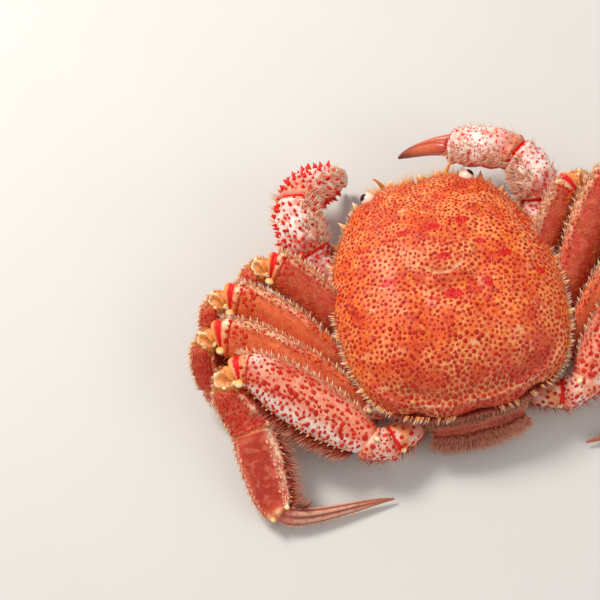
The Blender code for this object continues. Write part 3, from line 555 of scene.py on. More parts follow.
def write_masks(piece: Piece, **masks: Array) -> None:
    """Store numbers for each vertex, by name, for the piece's material to read."""
    for name, values in masks.items():
        layer = piece.data.attributes.new(name, "FLOAT", "POINT")
        layer.data.foreach_set("value", np.asarray(values, np.float32))


def apply_modifier(piece: Piece, kind: str, **settings: object) -> None:
    """Add a modifier with its settings and apply it."""
    make_active(piece)
    step = piece.modifiers.new(kind.lower(), kind)
    for name, value in settings.items():
        setattr(step, name, value)
    bpy.ops.object.modifier_apply(modifier=step.name)


def face_outwards(piece: Piece) -> None:
    """Turn every face of a closed piece outwards."""
    make_active(piece)
    edit(True)
    bpy.ops.mesh.select_all(action="SELECT")
    bpy.ops.mesh.normals_make_consistent(inside=False)
    edit(False)


def smooth_shade(piece: Piece) -> None:
    """Shade a piece smooth."""
    piece.data.shade_smooth()


def settle(piece: Piece, places: Array) -> None:
    """Move a carved piece to its place, with its faces outwards and smooth."""
    write_places(piece, places)
    face_outwards(piece)
    smooth_shade(piece)


def raise_grid(name: str, cells: int) -> Piece:
    """Model a square grid from -1 to 1 mm, to be drawn out to a disc."""
    deselect()
    bpy.ops.mesh.primitive_grid_add(x_subdivisions=cells, y_subdivisions=cells, size=2.0 * MM,
                                    location=(0, 0, 0))
    piece = bpy.context.active_object
    piece.name = name
    return piece


def edit_border() -> None:
    """Go into edit mode with the open border of the active piece selected."""
    edit(True)
    bpy.ops.mesh.select_all(action="DESELECT")
    bpy.ops.mesh.select_mode(type="EDGE")
    bpy.ops.mesh.select_non_manifold()


def disc_of(u: Array, v: Array) -> tuple:
    """Turn and share of the radius where a square grid is drawn out to a disc."""
    x, y = u * np.sqrt(1.0 - v * v / 2.0), v * np.sqrt(1.0 - u * u / 2.0)
    return np.arctan2(x, y), np.minimum(np.hypot(x, y), 1.0)


def raise_bar(name: str, sections: tuple, length: float, sides: int) -> Piece:
    """Model an upright bar by extruding a disc from section to section.

    Args:
        name: Name of the piece.
        sections: Share of the length, and back reach, belly reach and half thickness in millimetres.
        length: Length in millimetres.
        sides: Corners of a section.

    Returns:
        The closed bar, along +Z, with its back edge towards +Y.
    """
    deselect()
    rows = [(t * length, (back - belly) / 2, (back + belly) / 2, half) for t, back, belly, half in sections]
    up, centre, width, thick = rows[0]
    bpy.ops.mesh.primitive_circle_add(vertices=sides, radius=MM, fill_type="NGON", location=(0, 0, 0))
    piece = bpy.context.active_object
    piece.name = name
    edit(True)
    bpy.ops.transform.resize(value=(thick, width, 1.0), center_override=(0, 0, 0))
    bpy.ops.transform.translate(value=(0, centre * MM, up * MM))
    for row in rows[1:]:
        step = (0, (row[1] - centre) * MM, (row[0] - up) * MM)
        bpy.ops.mesh.extrude_region_move(TRANSFORM_OT_translate={"value": step})
        middle = (0, row[1] * MM, row[0] * MM)
        bpy.ops.transform.resize(value=(row[3] / thick, row[2] / width, 1.0), center_override=middle)
        up, centre, width, thick = row
    bpy.ops.mesh.inset(thickness=0.25 * thick * MM, depth=0.0)
    edit(False)
    return piece


def fine_sections(sections: tuple, shares: tuple, grow: float) -> tuple:
    """Sections at more shares of the length, on smooth curves through the given ones, made wider by grow."""
    places = np.array(shares)
    columns = [curve_through([(row[0], row[i]) for row in sections], places) * grow for i in (1, 2, 3)]
    return tuple(zip(shares, *columns))


def turns_of(upright: Array, sections: tuple, length: float) -> tuple:
    """Share of the length, turn in degrees and share of the reach of each vertex of an upright bar."""
    t = upright[:, 2] / length
    table = np.array(sections, float)
    back, belly, half = (np.interp(t, table[:, 0], table[:, i]) for i in (1, 2, 3))
    reach = np.where(upright[:, 1] > 0, back, belly)
    across, out = upright[:, 1] / reach, upright[:, 0] / half
    return t, np.degrees(np.arctan2(out, across)), np.hypot(across, out)


def joined_piece(name: str, places: Array, faces: Array, masks: dict,
                 unwrap: Array | None = None) -> Piece:
    """Make one mesh of many small closed shapes.

    Args:
        name: Name of the piece.
        places: Vertices in millimetres.
        faces: Corners of each triangle.
        masks: A number for each vertex, by name.
        unwrap: Place of each vertex on the unwrapped skin, for the map that the colours are baked to.

    Returns:
        The piece; hairs, which have an unwrapped place, keep flat faces, the rest is shaded smooth.
    """
    mesh = bpy.data.meshes.new(name)
    mesh.vertices.add(len(places))
    mesh.vertices.foreach_set("co", (places * MM).astype(np.float32).ravel())
    mesh.loops.add(len(faces) * 3)
    mesh.loops.foreach_set("vertex_index", faces.astype(np.int32).ravel())
    mesh.polygons.add(len(faces))
    mesh.polygons.foreach_set("loop_start", np.arange(0, len(faces) * 3, 3, dtype=np.int32))
    mesh.update(calc_edges=True)
    if unwrap is not None:
        layer = mesh.uv_layers.new(name="OFBake")
        layer.data.foreach_set("uv", unwrap[faces.ravel()].astype(np.float32).ravel())
    piece = bpy.data.objects.new(name, mesh)
    bpy.context.scene.collection.objects.link(piece)
    write_masks(piece, **masks)
    if unwrap is None:
        smooth_shade(piece)
    return piece


@dataclass
class Stamp:
    """A small closed shape, modelled once about the origin with its top towards +Z, ready to be copied."""

    places: Array
    faces: Array

    @classmethod
    def from_piece(cls, piece: Piece) -> "Stamp":
        """Read a modelled piece in units of its own size and remove it."""
        piece.data.calc_loop_triangles()
        places = read_places(piece)
        faces = np.array([tri.vertices[:] for tri in piece.data.loop_triangles])
        bpy.data.objects.remove(piece, do_unlink=True)
        return cls(places, faces)

    @staticmethod
    def ball(segments: int, levels: int) -> Piece:
        """Model a ball of 1 mm radius, open in edit mode with all of it selected."""
        deselect()
        bpy.ops.mesh.primitive_uv_sphere_add(segments=segments, ring_count=levels, radius=MM,
                                             location=(0, 0, 0))
        edit(True)
        bpy.ops.mesh.select_all(action="SELECT")
        return bpy.context.active_object

    @classmethod
    def granule(cls) -> "Stamp":
        """Low round grain: a ball cut off below its middle, its foot drawn in under the skin."""
        piece = cls.ball(8, 6)
        bpy.ops.mesh.bisect(plane_co=(0, 0, -0.3 * MM), plane_no=(0, 0, 1), use_fill=True, clear_inner=True)
        edit(False)
        face_outwards(piece)
        return cls.from_piece(piece)

    @classmethod
    def knob(cls) -> "Stamp":
        """Smooth egg, half sunk in the skin."""
        piece = cls.ball(16, 10)
        bpy.ops.transform.resize(value=(1.0, 0.92, 1.0))
        edit(False)
        return cls.from_piece(piece)

    @classmethod
    def spine(cls) -> "Stamp":
        """Sharp cone with a swollen foot that goes under the skin."""
        deselect()
        bpy.ops.mesh.primitive_circle_add(vertices=7, radius=MM, fill_type="NGON", location=(0, 0, -0.5 * MM))
        piece = bpy.context.active_object
        edit(True)
        for rise, ratio in ((0.5, 0.92), (0.25, 0.66), (0.4, 0.5), (0.35, 0.08)):
            bpy.ops.mesh.extrude_region_move(TRANSFORM_OT_translate={"value": (0, 0, rise * MM)})
            bpy.ops.transform.resize(value=(ratio, ratio, 1.0))
        edit(False)
        return cls.from_piece(piece)

    def copies(self, roots: Array, ups: Array, alongs: Array, sizes: Array) -> tuple:
        """Copy the shape to many places.

        Args:
            roots: Place of each copy.
            ups: Way of the top of each copy.
            alongs: Way that its +X turns to, about square to the top.
            sizes: Its half length, half width and height in millimetres.

        Returns:
            Vertices and triangles of all the copies, and each vertex's share of the height.
        """
        alongs = unit_rows(alongs - ups * np.sum(alongs * ups, -1, keepdims=True))
        acrosses = np.cross(ups, alongs)
        axes = np.stack([alongs * sizes[:, :1], acrosses * sizes[:, 1:2], ups * sizes[:, 2:3]], 1)
        places = roots[:, None] + np.einsum("vk,nkc->nvc", self.places, axes)
        count = len(self.places)
        faces = self.faces[None] + (np.arange(len(roots)) * count)[:, None, None]
        tips = np.tile(np.clip(self.places[:, 2] / self.places[:, 2].max(), 0, 1), len(roots))
        return places.reshape(-1, 3), faces.reshape(-1, 3), tips


def hair_mesh(roots: Array, ways: Array, bends: Array, lengths: Array, radii: Array, bands: int = 2) -> tuple:
    """Build tapered hairs of three sides.

    Args:
        roots: Root of each hair, sunk in the skin.
        ways: Way in which it leaves the skin.
        bends: Way to which it bends, as a share of its length.
        lengths: Its length.
        radii: Its radius at the root.
        bands: Lengths between the root and the tip.

    Returns:
        Vertices, triangles, and each vertex's share of the length and its number round the hair.
    """
    shares = np.linspace(0.0, 1.0, bands + 1)[:-1]
    first = side_of(ways)
    second = np.cross(ways, first)
    rings = []
    for share in shares:
        centre = roots + ways * (lengths * share)[:, None] + bends * (lengths * share * share)[:, None]
        radius = (radii * (1.0 - share) ** 0.6)[:, None]
        for k in range(3):
            angle = 2.0 * math.pi * k / 3
            rings.append(centre + first * radius * math.cos(angle) + second * radius * math.sin(angle))
    rings.append(roots + ways * lengths[:, None] + bends * lengths[:, None])
    places = np.stack(rings, 1)
    count = places.shape[1]
    faces = [(0, 2, 1)]
    for band in range(len(shares) - 1):
        low, high = band * 3, band * 3 + 3
        for k in range(3):
            after = (k + 1) % 3
            faces += [(low + k, low + after, high + after), (low + k, high + after, high + k)]
    last = (len(shares) - 1) * 3
    faces += [(last + k, last + (k + 1) % 3, count - 1) for k in range(3)]
    faces = np.array(faces)[None] + (np.arange(len(roots)) * count)[:, None, None]
    tips = np.tile(np.r_[np.repeat(shares, 3), 1.0], len(roots))
    rounds = np.tile(np.r_[np.tile([0.0, 0.5, 1.0], len(shares)), 0.5], len(roots))
    return places.reshape(-1, 3), faces.reshape(-1, 3), tips, rounds


def thinned(places: Array, spacings: Array) -> Array:
    """Choose places in order, dropping each that is closer than its spacing to one chosen before.

    Args:
        places: Candidates in random order.
        spacings: Least distance of each to the others, in millimetres; none is chosen where it is infinite.

    Returns:
        The numbers of the chosen candidates.
    """
    cell = 4.0  # side of the lookup grid; only places in neighbouring cells are compared
    grid: dict = {}
    chosen = []
    for i, (place, spacing) in enumerate(zip(places.tolist(), spacings.tolist())):
        if math.isinf(spacing):
            continue
        key = tuple(int(math.floor(c / cell)) for c in place)
        near = [j for dx in (-1, 0, 1) for dy in (-1, 0, 1) for dz in (-1, 0, 1)
                for j in grid.get((key[0] + dx, key[1] + dy, key[2] + dz), ())]
        if all(math.dist(place, places[j]) > min(spacing, spacings[j]) for j in near):
            grid.setdefault(key, []).append(i)
            chosen.append(i)
    return np.array(chosen, int)


def nearest_two(places: Array, roots: Array) -> tuple:
    """Distances of each place to its nearest and second nearest root, and the number of the nearest."""
    tree = KDTree(len(roots))
    for i, root in enumerate(roots):
        tree.insert(root, i)
    tree.balance()
    near = [tree.find_n(place, 2) for place in places]
    first = np.array([n[0][2] for n in near])
    return first, np.array([n[-1][2] for n in near]), np.array([n[0][1] for n in near])


@dataclass
class Surface:
    """Finished skin that things are rooted on."""

    piece: Piece

    def __post_init__(self) -> None:
        """Index the skin's faces."""
        corners = read_places(self.piece).tolist()
        self.tree = BVHTree.FromPolygons(corners, [p.vertices[:] for p in self.piece.data.polygons])

    def rooted(self, places: Array) -> tuple:
        """Nearest places on the skin and the normals there."""
        found = [self.tree.find_nearest(Vector(place))[:2] for place in places]
        return tuple(np.array([f[i][:] for f in found]).reshape(-1, 3) for i in (0, 1))


# Finishes

def linear(hex_colour: str) -> tuple:
    """Turn an sRGB colour such as '#C0604A' to linear red, green, blue and alpha."""
    parts = [int(hex_colour[i:i + 2], 16) / 255 for i in (1, 3, 5)]
    return tuple(p / 12.92 if p <= 0.04045 else ((p + 0.055) / 1.055) ** 2.4 for p in parts) + (1.0,)


def per_metre(size: float) -> float:
    """Scale of a pattern whose grains are so many millimetres across."""
    return 1.0 / (size * MM)


def add(tree: bpy.types.NodeTree, kind: str, settings: dict, inputs: dict) -> bpy.types.Node:
    """Add a node to a material.

    Args:
        tree: The material's nodes.
        kind: Type of the node, without the prefix that all shader nodes share.
        settings: Its properties by name.
        inputs: A value or an output to link, by the input's name or number.

    Returns:
        The node.
    """
    node = tree.nodes.new("ShaderNode" + kind)
    for name, value in settings.items():
        setattr(node, name, value)
    for name, value in inputs.items():
        if isinstance(value, Socket):
            tree.links.new(value, node.inputs[name])
        else:
            node.inputs[name].default_value = value
    return node


@dataclass
class Recipe:
    """A material under way: its nodes and the colour mixed so far."""

    name: str
    base: str
    tree: bpy.types.NodeTree = field(init=False)
    material: Material = field(init=False)

    def __post_init__(self) -> None:
        """Start the material with one colour."""
        self.material = bpy.data.materials.new(self.name)
        self.material.use_nodes = True
        self.tree = self.material.node_tree
        self.shader = self.tree.nodes["Principled BSDF"]
        self.where = add(self.tree, "TexCoord", {}, {}).outputs["Object"]
        start = add(self.tree, "RGB", {}, {})
        start.outputs[0].default_value = linear(self.base)
        self.colour = start.outputs[0]

    def mask(self, name: str) -> Socket:
        """Number that the piece stores for each of its vertices."""
        return add(self.tree, "Attribute", {"attribute_name": name}, {}).outputs["Fac"]

    def spread(self, value: Socket, low: float, high: float, smooth: bool = False) -> Socket:
        """Number stretched so that a low one gives 0 and a high one 1."""
        kind = {"interpolation_type": "SMOOTHSTEP"} if smooth else {}
        stretch = add(self.tree, "MapRange", kind, {"Value": value, "From Min": low, "From Max": high})
        return stretch.outputs["Result"]

    def noise(self, size: float, detail: float = 3.0, low: float = 0.0, high: float = 1.0) -> Socket:
        """Cloudy number from 0 to 1 with grains of a size in millimetres, stretched between two levels."""
        inputs = {"Vector": self.where, "Scale": per_metre(size), "Detail": detail}
        return self.spread(add(self.tree, "TexNoise", {}, inputs).outputs["Fac"], low, high)

    def ragged(self, name: str, size: float, strength: float) -> Socket:
        """Mask whose edge is broken up by a cloud with grains of a size in millimetres."""
        cloud = self.noise(size, 2.0, 0.3, 0.7)
        inputs = {0: cloud, 1: strength, 2: self.mask(name)}
        rough = add(self.tree, "Math", {"operation": "MULTIPLY_ADD"}, inputs)
        middle = 0.5 + strength / 2
        return self.spread(rough.outputs[0], middle - 0.15, middle + 0.15, True)

    def times(self, first: object, second: object) -> Socket:
        """Product of two numbers."""
        return add(self.tree, "Math", {"operation": "MULTIPLY"}, {0: first, 1: second}).outputs[0]

    def stain(self, colour: str, share: object) -> None:
        """Mix a colour over what is there by a share."""
        mixer = add(self.tree, "Mix", {"data_type": "RGBA"}, {0: share, 6: self.colour, 7: linear(colour)})
        self.colour = mixer.outputs[2]

    def darken(self, share: object, depth: float) -> None:
        """Multiply what is there by a grey of a depth, by a share."""
        grey = (depth, depth, depth, 1.0)
        settings = {"data_type": "RGBA", "blend_type": "MULTIPLY"}
        self.colour = add(self.tree, "Mix", settings, {0: share, 6: self.colour, 7: grey}).outputs[2]

    def finish(self, roughness: object, bump: object = None, height: float = 0.1,
               **constants: object) -> Material:
        """Link the colour, the roughness and a bump, high in millimetres, and set the shader's constants."""
        self.tree.links.new(self.colour, self.shader.inputs["Base Color"])
        if isinstance(roughness, Socket):
            self.tree.links.new(roughness, self.shader.inputs["Roughness"])
        else:
            self.shader.inputs["Roughness"].default_value = roughness
        if bump is not None:
            node = add(self.tree, "Bump", {}, {"Height": bump, "Distance": height * MM, "Strength": 1.0})
            self.tree.links.new(node.outputs["Normal"], self.shader.inputs["Normal"])
        for name, value in constants.items():
            self.shader.inputs[name.replace("_", " ")].default_value = value
        return self.material


@dataclass(frozen=True)
class BoiledShell:
    """Crab shell reddened by boiling: chalky plates under a thin horny skin, moist and half glossy."""

    name: str
    ground: str
    flush: str
    pale: str
    smooth: str
    granule: str = "#B8200C"
    scar: str = "#E60E06"
    mottle: str = "#F79A50"
    knuckle: str = "#F3A458"
    cream: str = "#FFE9BE"
    # Deeper red, partly the shell's own and partly painted shade
    dusk: str = "#9A2C20"
    groove: str = "#F0C08A"
    roughness: float = 0.48

    def make(self) -> Material:
        """Build the material from the masks that a skin stores."""
        recipe = Recipe(self.name, self.ground)
        # Cloudy flush of the pigment, in patches of a centimetre and of two millimetres
        recipe.stain(self.flush, recipe.noise(9.0, 4.0, 0.42, 0.68))
        recipe.stain(self.mottle, recipe.times(recipe.noise(4.2, 2.0, 0.52, 0.72), 0.55))
        recipe.stain(self.smooth, recipe.mask("face"))
        # Pale ovals and dark veins under the thin skin of the broad faces
        faint = recipe.times(recipe.mask("face"), 0.5)
        recipe.stain(self.mottle, recipe.times(faint, recipe.noise(3.2, 1.5, 0.5, 0.62)))
        recipe.darken(recipe.times(recipe.mask("face"), recipe.noise(2.2, 3.0, 0.45, 0.62)), 0.78)
        # Partly own deeper red, partly painted shade under the back shell and towards limb roots
        recipe.stain(self.dusk, recipe.mask("dusk"))
        # Pale net between the grains
        net = recipe.times(recipe.mask("net"), recipe.noise(2.8, 3.0, 0.3, 0.54))
        recipe.stain(self.pale, recipe.times(recipe.times(net, 0.72), recipe.noise(11.0, 3.0, 0.42, 0.6)))
        # Broken red skin round each grain
        recipe.stain(self.granule, recipe.times(recipe.ragged("dot", 0.9, 0.55), 0.9))
        recipe.stain(self.groove, recipe.mask("groove"))
        recipe.stain(self.knuckle, recipe.mask("knuckle"))
        # Cream marks; on the back shell they include the painted highlight along the rear rim
        recipe.stain(self.cream, recipe.times(recipe.mask("cream"), recipe.noise(3.4, 3.0, 0.32, 0.5)))
        # Irregular red flecks between the grains
        recipe.stain(self.granule, recipe.times(recipe.mask("fleck"), recipe.noise(1.9, 2.0, 0.58, 0.64)))
        recipe.stain(self.scar, recipe.ragged("scar", 1.2, 0.4))
        recipe.darken(recipe.noise(1.1, 2.0, 0.5, 0.75), 0.86)
        grain = recipe.noise(0.55, 3.0)
        low, high = self.roughness - 0.08, self.roughness + 0.14
        inputs = {"Value": recipe.noise(2.4, 3.0), "To Min": low, "To Max": high}
        gloss = add(recipe.tree, "MapRange", {}, inputs).outputs["Result"]
        return recipe.finish(gloss, grain, 0.12, Coat_Weight=0.05, Coat_Roughness=0.2,
                             Specular_IOR_Level=0.3, Subsurface_Weight=0.06, Subsurface_Scale=0.0015)


@dataclass(frozen=True)
class Grain:
    """Horny cap of a granule or spine: darkest at its foot, lighter and glossy at its top."""

    # On the back and leg granules the pale top is a painted glint
    name: str
    foot: str
    top: str
    tip: str
    tip_start: float

    def make(self) -> Material:
        """Build the material from the share of height and the tone that each cap stores."""
        recipe = Recipe(self.name, self.foot)
        recipe.stain(self.top, recipe.mask("tone"))
        # Paler towards the top: a painted glint on granules, the own pale tip of spines, teeth, nodules and
        # knobs
        recipe.stain(self.tip, recipe.spread(recipe.mask("tip"), self.tip_start, 1.0, True))
        return recipe.finish(0.45, recipe.noise(0.4), 0.04, Coat_Weight=0.05, Coat_Roughness=0.12,
                             Specular_IOR_Level=0.2)


@dataclass(frozen=True)
class Bristle:
    """Stiff hair of horn: brown to gold at the root and bleached towards the tip."""

    name: str
    root: str
    middle: str
    tip: str

    def make(self) -> Material:
        """Build the material from the share of length and the tone that each hair stores."""
        recipe = Recipe(self.name, self.root)
        recipe.stain(self.middle, recipe.spread(recipe.mask("tip"), 0.05, 0.5))
        recipe.stain(self.tip, recipe.spread(recipe.mask("tip"), 0.45, 1.0))
        recipe.darken(recipe.mask("tone"), 0.78)
        return recipe.finish(0.55, recipe.noise(0.3), 0.02, Specular_IOR_Level=0.12)


@dataclass(frozen=True)
class GroovedHorn:
    """Horn of a foot tip or finger: smooth pale ridges between darker furrows, polished by wear."""

    name: str
    ridge: str
    furrow: str
    tip: str

    def make(self) -> Material:
        """Build the material from the furrow, tip and along masks of the piece."""
        recipe = Recipe(self.name, self.ridge)
        recipe.stain(self.furrow, recipe.mask("furrow"))
        recipe.stain(self.furrow, recipe.noise(2.2, 4.0, 0.5, 0.95))
        recipe.stain(self.tip, recipe.mask("tip"))
        recipe.stain("#C9523A", recipe.mask("dot"))
        return recipe.finish(0.3, recipe.noise(0.7), 0.06, Coat_Weight=0.3, Coat_Roughness=0.18)


@dataclass(frozen=True)
class Cornea:
    """Surface of the eye: black and glossy like wet glass."""

    name: str = "cornea"

    def make(self) -> Material:
        """Build the material; a cream mask marks the lid of shell over the eye."""
        recipe = Recipe(self.name, "#1A0F10")
        recipe.stain("#3A1A16", recipe.noise(0.8, 3.0, 0.45, 0.8))
        recipe.stain("#FFE0C4", recipe.mask("cream"))
        recipe.stain("#DE5428", recipe.mask("stalk"))
        return recipe.finish(0.16, recipe.noise(0.25), 0.02, Coat_Weight=0.5, Coat_Roughness=0.08)


@dataclass(frozen=True)
class PlainPaint:
    """Matt paint of the studio floor."""

    name: str
    colour: str

    def make(self) -> Material:
        """Build the material."""
        recipe = Recipe(self.name, self.colour)
        recipe.darken(recipe.noise(60.0, 2.0, 0.4, 0.7), 0.985)
        return recipe.finish(0.7)


@dataclass
class Palette:
    """Every material of the crab, made once."""

    back: Material = field(init=False)

    def __post_init__(self) -> None:
        """Make the materials."""
        self.back = BoiledShell("back_shell", "#EE6628", "#D63A16", "#FFC27C", "#E0582C", mottle="#FF9E38",
                                granule="#AE1A08", dusk="#B8402E", scar="#D81A0C").make()
        self.pink = BoiledShell("granular_leg_shell", "#F49C7C", "#E8704C", "#FFD4B8", "#CE3C2A",
                                mottle="#FFC4A8", cream="#FFEADC", granule="#CC2210").make()
        self.crimson = BoiledShell("crimson_leg_shell", "#E0583A", "#C83424", "#F0905C", "#CC3C2C",
                                   mottle="#E88058").make()
        self.flame = BoiledShell("orange_leg_shell", "#EE6C38", "#DA4828", "#FBA060", "#E85A34",
                                 mottle="#F79460").make()
        self.knee = BoiledShell("knee_shell", "#D65238", "#BC3422", "#F09A74", "#B23220",
                                mottle="#EA8060").make()
        self.claw = BoiledShell("claw_shell", "#F08A66", "#DA4028", "#FFDCC8", "#CC3420", mottle="#FFC0A0",
                                cream="#FFF6EC", granule="#D82410").make()
        self.belly = BoiledShell("belly_shell", "#F4D9A8", "#EDB57C", "#FFF0CF", "#E9A06A",
                                 roughness=0.42).make()
        # The tail's dark reds are partly its own dull red-brown and partly painted shade of its place under
        # the rear rim
        self.tail = BoiledShell("tail_shell", "#B4503A", "#8E3428", "#D99A68", "#8A3528",
                                mottle="#C87050").make()
        # The granules' last colour, from 97 % of the height up, is a painted glint on each top
        self.granules = Grain("back_granules", "#B01402", "#D22606", "#E8603C", 0.97).make()
        self.leg_granules = Grain("leg_granules", "#BE1606", "#DE3018", "#F09070", 0.97).make()
        self.nodules = Grain("border_nodules", "#CC402C", "#E26A4C", "#F8B8A0", 0.55).make()
        self.spines = Grain("claw_cones", "#DA1808", "#F03018", "#FFC8A0", 0.8).make()
        self.knob_horn = Grain("hinge_knobs", "#F8B45C", "#FFCE84", "#FFEEBE", 0.35).make()
        self.teeth = Grain("margin_teeth", "#EE8240", "#F8B468", "#FFF4D8", 0.2).make()
        self.cream_hair = Bristle("cream_bristles", "#F8945C", "#FFD0A4", "#FFF6E4").make()
        self.gold_hair = Bristle("golden_bristles", "#E0501A", "#FF9A30", "#FFCF74").make()
        self.brown_hair = Bristle("brown_bristles", "#84241A", "#D05C42", "#FFC8A8").make()
        self.horn = GroovedHorn("foot_horn", "#E6A488", "#7E261A", "#A8522A").make()
        self.finger = GroovedHorn("finger_horn", "#E07048", "#B03A22", "#7A2C1C").make()
        self.cornea = Cornea().make()


def place_piece(piece: Piece, material: Material, nodes: tuple = ()) -> None:
    """Give a finished piece its material and tie it to the frame.

    Args:
        piece: The piece.
        material: Its finish.
        nodes: The solids that it stands for.
    """
    piece.data.materials.clear()
    piece.data.materials.append(material)
    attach(piece, BODY)
    if nodes:
        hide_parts(*nodes)


def grow_grains(name: str, stamp: Stamp, grains: tuple, material: Material,
                rng: Generator) -> None:
    """Make one piece of many copies of a stamp, each with a tone of its own.

    Args:
        name: Name of the piece.
        stamp: The shape of one grain.
        grains: Roots, ways up, lies and sizes of the copies.
        material: Finish of the grains.
        rng: Source of the variation.
    """
    vertices, faces, tips = stamp.copies(*grains)
    count = len(grains[0])
    tone = np.repeat(rng.random(count), len(vertices) // count)
    place_piece(joined_piece(name, vertices, faces, {"tip": tips, "tone": tone}), material)
    log.info("%s: %d", name, count)


# The back shell

SCARS = (
    (0.1, 29.6, 2.6, 1.5), (12.8, 30.4, 2.2, 1.7), (-12.8, 30.2, 2.4, 1.3), (1.0, 14.7, 3.0, 1.3),
    (-24.4, 9.6, 2.9, 1.4), (26.6, 11.5, 2.6, 1.5), (1.0, -2.6, 3.2, 2.1), (16.4, -0.6, 1.6, 2.2),
    (18.0, 18.5, 1.6, 1.0), (40.1, 2.1, 1.4, 1.4),
)
PALE_PATCHES = (
    (-9.8, 19.7, 1.6), (-12.4, 13.8, 2.4), (10.3, 18.0, 1.4), (-9.6, 0.6, 2.4), (-33.1, 0.4, 2.6),
    (13.2, 14.9, 2.2), (12.5, 2.2, 2.2), (20.1, 0.4, 2.4), (35.6, 4.4, 2.2), (-40.6, -16.4, 2.2),
    (-36.6, -30.6, 2.6), (-25.2, -20.4, 2.0), (-9.9, 42.2, 2.6), (-1.0, 38.7, 2.0), (4.0, -24.0, 3.0),
    (24.0, -22.6, 3.0),
)


